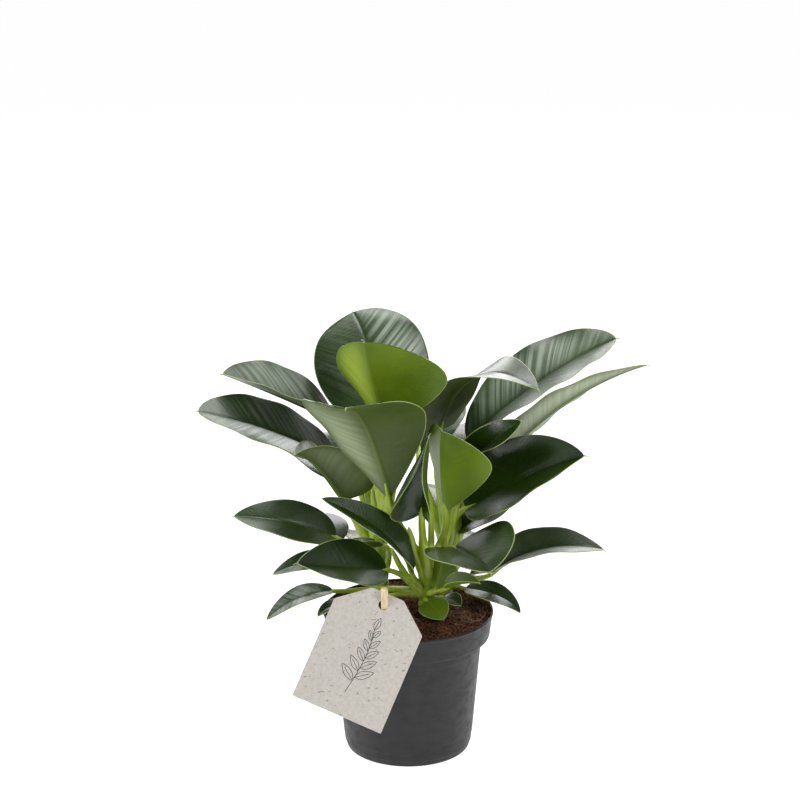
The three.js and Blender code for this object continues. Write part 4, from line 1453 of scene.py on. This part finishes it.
@dataclass
class Soil:
    """Peat mounded at the stems, with crumbs, coir fibres and curled roots lying on it."""

    edge_height: float = 98.5
    crown_rise: float = 7.5
    lump: float = 1.1
    radius: float = 57.9
    rings: int = 64
    sides: int = 150
    skirt: float = 16
    seed: int = 12
    bank_height: float = 3.2
    bank_radius: float = 51
    bank_width: float = 6
    crumb_density: float = 620000
    crumb_kinds: int = 5
    crumb_radius: float = 0.5
    fibre_density: float = 170000
    fibre_kinds: int = 7
    fibre_steps: int = 8
    fibre_step: float = 0.8
    fibre_sides: int = 3
    fibre_radii: tuple[tuple[float, ...], ...] = ((0, 0.2, 0.8, 1), (0.05, 0.13, 0.11, 0.04))
    root_count: int = 26
    coiled_roots: int = 15
    coil_centre: Pair = (36, -19)
    root_steps: int = 34
    root_reach: float = 55
    root_radius: float = 0.28
    peat: EarthFinish = EarthFinish("damp_peat", (0.012, 0.006, 0.004), (0.075, 0.03, 0.015))
    crumbs: EarthFinish = EarthFinish("peat_crumbs", (0.014, 0.007, 0.005), (0.2, 0.085, 0.042), patch_scale=420)
    coir: EarthFinish = EarthFinish("coir_fibre", (0.13, 0.052, 0.026), (0.42, 0.2, 0.11), 0.7, 300)
    root: EarthFinish = EarthFinish("curled_root", (0.12, 0.06, 0.035), (0.28, 0.16, 0.095), 0.6, 200)

    def height(self, x: float, y: float) -> float:
        """The surface's height over a point.

        Args:
            x: To the right of the pot's middle.
            y: Behind it.

        Returns:
            The height in millimetres.
        """
        radius, angle = math.hypot(x, y), math.atan2(y, x)
        spread = radius / NurseryPot.rim_radius
        lumps = math.sin(3 * angle + 5 * spread) + math.sin(5 * angle - 7 * spread + 1) * 0.7
        even = self.edge_height + self.crown_rise * (1 - spread ** 2)
        even += self.lump * lumps * min(1, spread * 2) * (1 - spread ** 6)
        bank = self.bank_height * math.exp(-((radius - self.bank_radius) / self.bank_width) ** 2)
        bank *= max(0.0, math.cos(angle - 0.35)) ** 3
        rough = noise.fractal(Vector((x, y, 3.1)) * 0.16, 0.9, 2.1, 5) * 1.0
        fine = noise.fractal(Vector((x, y, 9.7)) * 0.6, 0.8, 2.1, 4) * 0.55
        keep = min(1.0, (self.radius - radius) / 3 + 0.25)
        return even + bank + (rough + fine) * keep

    def surface(self) -> tuple[np.ndarray, list[tuple[int, ...]]]:
        """The surface's points and faces, as a disc.

        Returns:
            The points and the faces.
        """
        points = [(0.0, 0.0, self.height(0, 0))]
        for ring in range(1, self.rings + 1):
            radius = self.radius * (ring / self.rings) ** 0.8
            for side in range(self.sides):
                angle = 2 * math.pi * side / self.sides
                x, y = radius * math.cos(angle), radius * math.sin(angle)
                points.append((x, y, self.height(x, y)))
        faces: list[tuple[int, ...]] = []
        for side in range(self.sides):
            after = (side + 1) % self.sides
            faces.append((0, 1 + side, 1 + after))
            for ring in range(self.rings - 1):
                a, b = 1 + ring * self.sides + side, 1 + ring * self.sides + after
                faces.append((a, a + self.sides, b + self.sides, b))
        return np.array(points), faces

    def shapes(self, name: str, makers: Sequence[bpy.types.Object]) -> bpy.types.Collection:
        """Puts source shapes in a collection of their own.

        Args:
            name: The collection's name.
            makers: The shapes.

        Returns:
            The collection.
        """
        collection = bpy.data.collections.new(name)
        bpy.context.scene.collection.children.link(collection)
        for made in makers:
            bpy.context.scene.collection.objects.unlink(made)
            collection.objects.link(made)
        return collection

    def crumb_shapes(self, draw: random.Random) -> bpy.types.Collection:
        """A few angular crumbs about a millimetre across.

        Args:
            draw: The source of random numbers.

        Returns:
            The crumbs' collection.
        """
        made = []
        for number in range(self.crumb_kinds):
            mesh = bpy.data.meshes.new(f"crumb_{number}")
            form = bmesh.new()
            bmesh.ops.create_icosphere(form, subdivisions=1, radius=self.crumb_radius * MM)
            stretch = Vector((draw.uniform(0.7, 1.5), draw.uniform(0.6, 1.1), draw.uniform(0.45, 0.9)))
            for vertex in form.verts:
                vertex.co *= draw.uniform(0.65, 1.3)
                vertex.co = Vector(a * b for a, b in zip(vertex.co, stretch))
            form.to_mesh(mesh)
            form.free()
            made.append(linked(mesh.name, mesh))
        return self.shapes("crumb_shapes", made)

    def fibre_shapes(self, draw: random.Random) -> bpy.types.Collection:
        """A few crooked fibres a few millimetres long.

        Args:
            draw: The source of random numbers.

        Returns:
            The fibres' collection.
        """
        made = []
        for number in range(self.fibre_kinds):
            heading, slant = 0.0, 0.2
            place = np.zeros(3)
            path = [place]
            for _ in range(self.fibre_steps):
                heading += draw.uniform(-0.75, 0.75)
                slant += draw.uniform(-0.45, 0.35)
                place = place + self.fibre_step * np.array([math.cos(heading) * math.cos(slant),
                                                            math.sin(heading) * math.cos(slant), math.sin(slant)])
                path.append(place)
            run = np.array(path)
            run -= run.mean(axis=0)
            skin = Skin()
            radii = np.interp(np.linspace(0, 1, len(run)), *self.fibre_radii)
            skin.add(rings_along(run, radii, self.fibre_sides, np.array([0, 0, 1.0])),
                     *loft_faces(len(run), self.fibre_sides))
            made.append(skin.to_object(f"fibre_{number}", []))
        return self.shapes("fibre_shapes", made)

    def roots(self, draw: random.Random) -> list[np.ndarray]:
        """Thin roots that coil on the surface at the front right and wander elsewhere.

        Args:
            draw: The source of random numbers.

        Returns:
            The points of each root.
        """
        lines = []
        for number in range(self.root_count):
            coiled = number < self.coiled_roots
            centre = np.array(self.coil_centre if coiled else (draw.uniform(-10, 46), draw.uniform(-44, 20)), float)
            size = draw.uniform(4, 14) if coiled else draw.uniform(8, 22)
            start, sweep = draw.uniform(0, 2 * math.pi), draw.uniform(2.2, 5.4) if coiled else draw.uniform(0.6, 1.6)
            drift = np.array([draw.uniform(-4, 4), draw.uniform(-4, 4)])
            line = []
            for step in range(self.root_steps):
                share = step / (self.root_steps - 1)
                angle = start + sweep * share
                reach = size * (1 + 0.12 * math.sin(5 * angle + number))
                x, y = centre + drift * (1 + share) + reach * np.array([math.cos(angle), 0.8 * math.sin(angle)])
                span = math.hypot(x, y)
                if span > self.root_reach:
                    x, y = x * self.root_reach / span, y * self.root_reach / span
                line.append((x, y, self.height(x, y) + 0.35 + 0.9 * math.sin(math.pi * share) * draw.uniform(0.6, 1)))
            lines.append(np.array(line))
        return lines

    def build(self) -> None:
        """Makes the soil's body, its litter and its roots."""
        draw = random.Random(self.seed)
        points, faces = self.surface()
        skin = Skin()
        skin.add(*self.closed(points, faces))
        finish_piece(skin.to_object("soil_peat", [self.peat.material()]), "soil", "soil")
        scatter = scatter_tree()
        litter = (
            ("soil_crumbs", self.crumb_shapes(draw), self.crumb_density, 0.5, 2.3, math.pi, self.crumbs),
            ("soil_fibres", self.fibre_shapes(draw), self.fibre_density, 0.5, 1.5, 0.7, self.coir),
        )
        for name, shapes, density, smallest, largest, tilt, finish in litter:
            host = Skin()
            host.add(points, faces)
            piece = scatter.grow(host.to_object(name, []), Density=density, Seed=self.seed, Shapes=shapes,
                                 Smallest=smallest, Largest=largest, Tilt=tilt, Material=finish.material())
            for made in list(shapes.objects):
                bpy.data.objects.remove(made)
            bpy.data.collections.remove(shapes)
            finish_piece(piece, "soil")
        roots = sweep_tree().grow(curve_object("soil_roots", self.roots(draw)), Sides=6, Radius=self.root_radius * MM,
                                  Material=self.root.material())
        finish_piece(roots, "soil")

    def closed(self, points: np.ndarray, faces: list) -> tuple[np.ndarray, list[tuple[int, ...]]]:
        """The surface with a short skirt and a flat underside, hidden in the pot.

        Args:
            points: The surface's points.
            faces: The surface's faces.

        Returns:
            The closed body's points and faces.
        """
        first = 1 + (self.rings - 1) * self.sides
        rim = points[first:first + self.sides]
        inward = np.array([0.93, 0.93, 1])
        skirt = rim * inward
        skirt[:, 2] = self.edge_height - self.skirt
        count = len(points)
        sheet = list(faces)
        for side in range(self.sides):
            after = (side + 1) % self.sides
            sheet.append((first + side, count + side, count + after, first + after))
        sheet.append(tuple(reversed(range(count, count + self.sides))))
        return np.vstack([points, skirt]), sheet


# Tag and peg


@dataclass
class CardTag:
    """A six-sided card with a round hole and a plain line-drawn sprig, leaning on the rim."""

    width: float = 65
    height: float = 88
    shoulder: float = 71
    top_width: float = 23
    thickness: float = 0.5
    hole_height: float = 80
    hole_radius: float = 3.4
    turn: float = 23.3
    lean: float = 23
    hole_at: Triple = (-17, -50.8, 124)
    corner: float = 0.8
    hole_sides: int = 28
    longest_edge: float = 4
    splits: int = 7
    ink_radius: float = 0.17
    finish: CardFinish = CardFinish()
    ink: PlainFinish = PlainFinish("sprig_ink", (0.07, 0.065, 0.06), 0.8)

    def frame(self) -> Matrix:
        """Carries the flat card's frame, with the hole at its origin, to its place on the pot.

        Returns:
            The matrix, in metres.
        """
        return (Matrix.Translation(Vector(self.hole_at) * MM)
                @ Euler((math.pi / 2 - math.radians(self.lean), 0, 0)).to_matrix().to_4x4()
                @ Euler((0, 0, -math.radians(self.turn))).to_matrix().to_4x4())

    def outline(self) -> np.ndarray:
        """The card's outline with small rounded corners.

        Returns:
            The outline's points, with the hole at the origin.
        """
        half, low = self.width / 2, -self.hole_height
        side, top, narrow = self.shoulder - self.hole_height, self.height - self.hole_height, self.top_width / 2
        corners = [np.array(spot, float) for spot in
                   ((-half, low), (half, low), (half, side), (narrow, top), (-narrow, top), (-half, side))]
        line = []
        for number, spot in enumerate(corners):
            before, after = corners[number - 1], corners[(number + 1) % 6]
            start = spot + unit(before - spot) * self.corner
            end = spot + unit(after - spot) * self.corner
            for share in (0, 0.33, 0.67, 1):
                line.append(start * (1 - share) ** 2 + 2 * spot * share * (1 - share) + end * share ** 2)
        return np.array(line)

    def bend(self, x: float, y: float) -> float:
        """How far the card's face stands from its plane, in millimetres: it is a little cupped."""
        across = x / (self.width / 2)
        return 0.5 * across ** 2 + 0.35 * math.sin(y / 24) - 0.2

    def card(self) -> bpy.types.Object:
        """The card itself.

        Returns:
            The card with its thickness, as a plain mesh.
        """
        form = bmesh.new()
        angles = np.linspace(0, 2 * math.pi, self.hole_sides, endpoint=False)
        hole = np.stack([np.cos(angles), np.sin(angles)], axis=1) * self.hole_radius
        edges = []
        for line in (self.outline(), hole):
            verts = [form.verts.new((x * MM, y * MM, 0)) for x, y in line]
            edges += [form.edges.new((a, b)) for a, b in zip(verts, verts[1:] + verts[:1])]
        bmesh.ops.triangle_fill(form, edges=edges, use_beauty=True)
        for _ in range(self.splits):
            long = [edge for edge in form.edges if edge.calc_length() > self.longest_edge * MM]
            bmesh.ops.subdivide_edges(form, edges=long, cuts=1)
            bmesh.ops.triangulate(form, faces=form.faces, quad_method="BEAUTY", ngon_method="BEAUTY")
        for vertex in form.verts:
            vertex.co.z = self.bend(vertex.co.x / MM, vertex.co.y / MM) * MM
        bmesh.ops.recalc_face_normals(form, faces=form.faces)
        if sum(face.normal.z for face in form.faces) < 0:
            bmesh.ops.reverse_faces(form, faces=form.faces)
        mesh = bpy.data.meshes.new("card_tag")
        form.to_mesh(mesh)
        form.free()
        mesh.materials.append(self.finish.material())
        mesh.transform(self.frame())
        card = linked("card_tag", mesh)
        solidify = card.modifiers.new("thickness", "SOLIDIFY")
        solidify.thickness = self.thickness * MM
        solidify.offset = 0
        return flattened(card)

    def sprig(self) -> bpy.types.Object:
        """A leafy sprig in thin raised lines, on the card's face.

        Returns:
            The drawing as a plain mesh.
        """
        def stem(share: float) -> np.ndarray:
            """A point of the sprig's stem."""
            return np.array([-1 + 5 * math.sin(share * 2.2) - 2 * share, -64 + 46 * share])

        def lobe(root: np.ndarray, angle: float, length: float, girth: float) -> list[np.ndarray]:
            """A leaf's outline and its midrib.

            Args:
                root: Where the leaf grows.
                angle: The way it points.
                length: Its length.
                girth: Its greatest half width.

            Returns:
                Its two edges and its midrib.
            """
            heading = np.array([math.cos(angle), math.sin(angle)])
            across = np.array([-heading[1], heading[0]])
            shares = np.linspace(0, 1, 22)
            swell = girth * np.sin(math.pi * shares) ** 0.8 * (1 - 0.35 * shares)
            edge = root + heading * (shares * length)[:, None]
            return [edge + across * swell[:, None], edge - across * swell[:, None], edge[:17]]

        lines = [np.array([stem(share) for share in np.linspace(0, 1, 30)])]
        for number, share in enumerate((0.2, 0.36, 0.52, 0.68, 0.84)):
            lean = 0.95 - 0.1 * number
            for turn in (lean, -lean):
                lines += lobe(stem(share + (0.05 if turn < 0 else 0)), math.pi / 2 + turn, 13.5 - 1.6 * number,
                              3.1 - 0.3 * number)
        lines += lobe(stem(1), math.pi / 2 - 0.1, 9, 2.4)
        proud = self.thickness / 2 + 0.02
        raised = [np.array([(x, y, self.bend(x, y) + proud) for x, y in line]) for line in lines]
        host = curve_object("card_sprig", raised)
        sprig = sweep_tree().grow(host, Sides=6, Radius=self.ink_radius * MM, Material=self.ink.material())
        sprig.data.transform(self.frame())
        return sprig

    def build(self) -> None:
        """Makes the card and its drawing."""
        finish_piece(self.card(), "tag", "tag")
        finish_piece(self.sprig(), "tag")


@dataclass
class Peg:
    """A flat wooden stick through the card's hole, with a pointed foot and eased edges."""

    width: float = 5
    thickness: float = 2.6
    point_length: float = 8
    end_share: float = 0.5
    sides: int = 24
    squareness: float = 0.45
    wander: float = 0.12
    tip: Triple = (-16.4, -52.6, 137)
    foot: Triple = (-15.6, -44, 86)
    finish: WoodFinish = WoodFinish()

    def build(self) -> None:
        """Makes the peg."""
        tip, foot = np.array(self.tip), np.array(self.foot)
        length = np.linalg.norm(tip - foot)
        up = unit(tip - foot)
        side = unit(WIDTHWAYS - up[0] * up)
        forward = np.cross(side, up)
        corners = np.linspace(0, 2 * math.pi, self.sides, endpoint=False)
        square = np.stack([np.cos(corners), np.sin(corners)], axis=1)
        square = np.sign(square) * np.abs(square) ** self.squareness
        heights = np.array([0, 2, 4, self.point_length, 14, 20, 26, 32, 38, 44,
                            length - 1.6, length - 0.7, length - 0.2, length])
        widths = np.interp(heights, [0, self.point_length, length - 1.6, length], [self.end_share, 1, 1, 0.8])
        widths[-1] *= 0.85
        rows = []
        for height, share in zip(heights, widths):
            wander = self.wander * math.sin(height * 0.35)
            ring = (side * (square[:, :1] * self.width / 2 * share + wander)
                    + forward * square[:, 1:] * self.thickness / 2 * min(1, share * 1.2))
            rows.append(foot + up * height + ring)
        skin = Skin()
        skin.add(np.concatenate(rows), *loft_faces(len(rows), len(corners)))
        finish_piece(skin.to_object("wooden_peg", [self.finish.material()]), "peg", "peg")


# Studio


@dataclass(frozen=True)
class Softbox:
    """A rectangular soft light: where it stands, its width and height, and its power in watts."""

    name: str
    place: Triple
    size: Pair
    power: float

    def build(self, target: Triple) -> None:
        """Adds the light.

        Args:
            target: What it points at.
        """
        lamp = bpy.data.lights.new(self.name, "AREA")
        lamp.shape = "RECTANGLE"
        lamp.size, lamp.size_y = self.size
        lamp.energy = self.power
        piece = linked(self.name, lamp)
        piece.location = self.place
        piece.rotation_euler = (Vector(target) - Vector(self.place)).to_track_quat("-Z", "Y").to_euler()
        piece.visible_camera = False


@dataclass
class Studio:
    """Pale floor, soft lights and the camera at the photograph's angle, in metres."""

    camera_place: Triple = (-0.0058, -1.38, 0.655)
    camera_pitch: float = 16.2
    lens: float = 94.5
    sensor: float = 36
    floor_size: float = 12
    floor_drop: float = 0.4
    floor: PlainFinish = PlainFinish("pale_floor", (0.3, 0.3, 0.3), 0.8, 0.95)
    world_light: float = 0.1
    target: Triple = (0, 0, 0.18)
    softboxes: tuple[Softbox, ...] = (
        Softbox("top_softbox", (0.2, 0.3, 1.4), (1.0, 0.6), 14),
        Softbox("back_softbox", (0.15, 1.3, 0.75), (1.6, 0.7), 15),
        Softbox("back_left_softbox", (-0.9, 0.8, 0.95), (0.7, 0.8), 6),
        Softbox("left_softbox", (-1.3, -0.6, 0.9), (0.6, 1.1), 14),
        Softbox("front_right_softbox", (0.85, -0.85, 1.1), (0.4, 0.8), 9),
    )

    def build(self) -> None:
        """Makes the floor, the lights and the camera."""
        half, low = self.floor_size / 2 / MM, -self.floor_drop
        skin = Skin()
        skin.add(np.array([(-half, -half, low), (half, -half, low), (half, half, low), (-half, half, low)]),
                 [(0, 1, 2, 3)])
        floor = skin.to_object("studio_floor", [self.floor.material()])
        world = bpy.data.worlds.new("studio")
        world.use_nodes = True
        sky = world.node_tree.nodes["Background"]
        sky.inputs["Color"].default_value = (1, 1, 1, 1)
        sky.inputs["Strength"].default_value = self.world_light
        bpy.context.scene.world = world
        for softbox in self.softboxes:
            softbox.build(self.target)
        bpy.context.scene.view_settings.view_transform = "Standard"
        view = bpy.data.cameras.new("photo_view")
        view.lens = self.lens
        view.sensor_width = self.sensor
        camera = linked("photo_view", view)
        camera.location = self.camera_place
        camera.rotation_euler = (math.radians(90 - self.camera_pitch), 0, 0)
        bpy.context.scene.camera = camera


def main() -> None:
    """Builds every sub-assembly in order."""
    logging.basicConfig(level=logging.INFO, format="%(name)s %(message)s")
    Studio().build()
    NurseryPot().build()
    Soil().build()
    RootedStems().build()
    Foliage().build()
    CardTag().build()
    Peg().build()


if __name__ == "__main__":
    main()
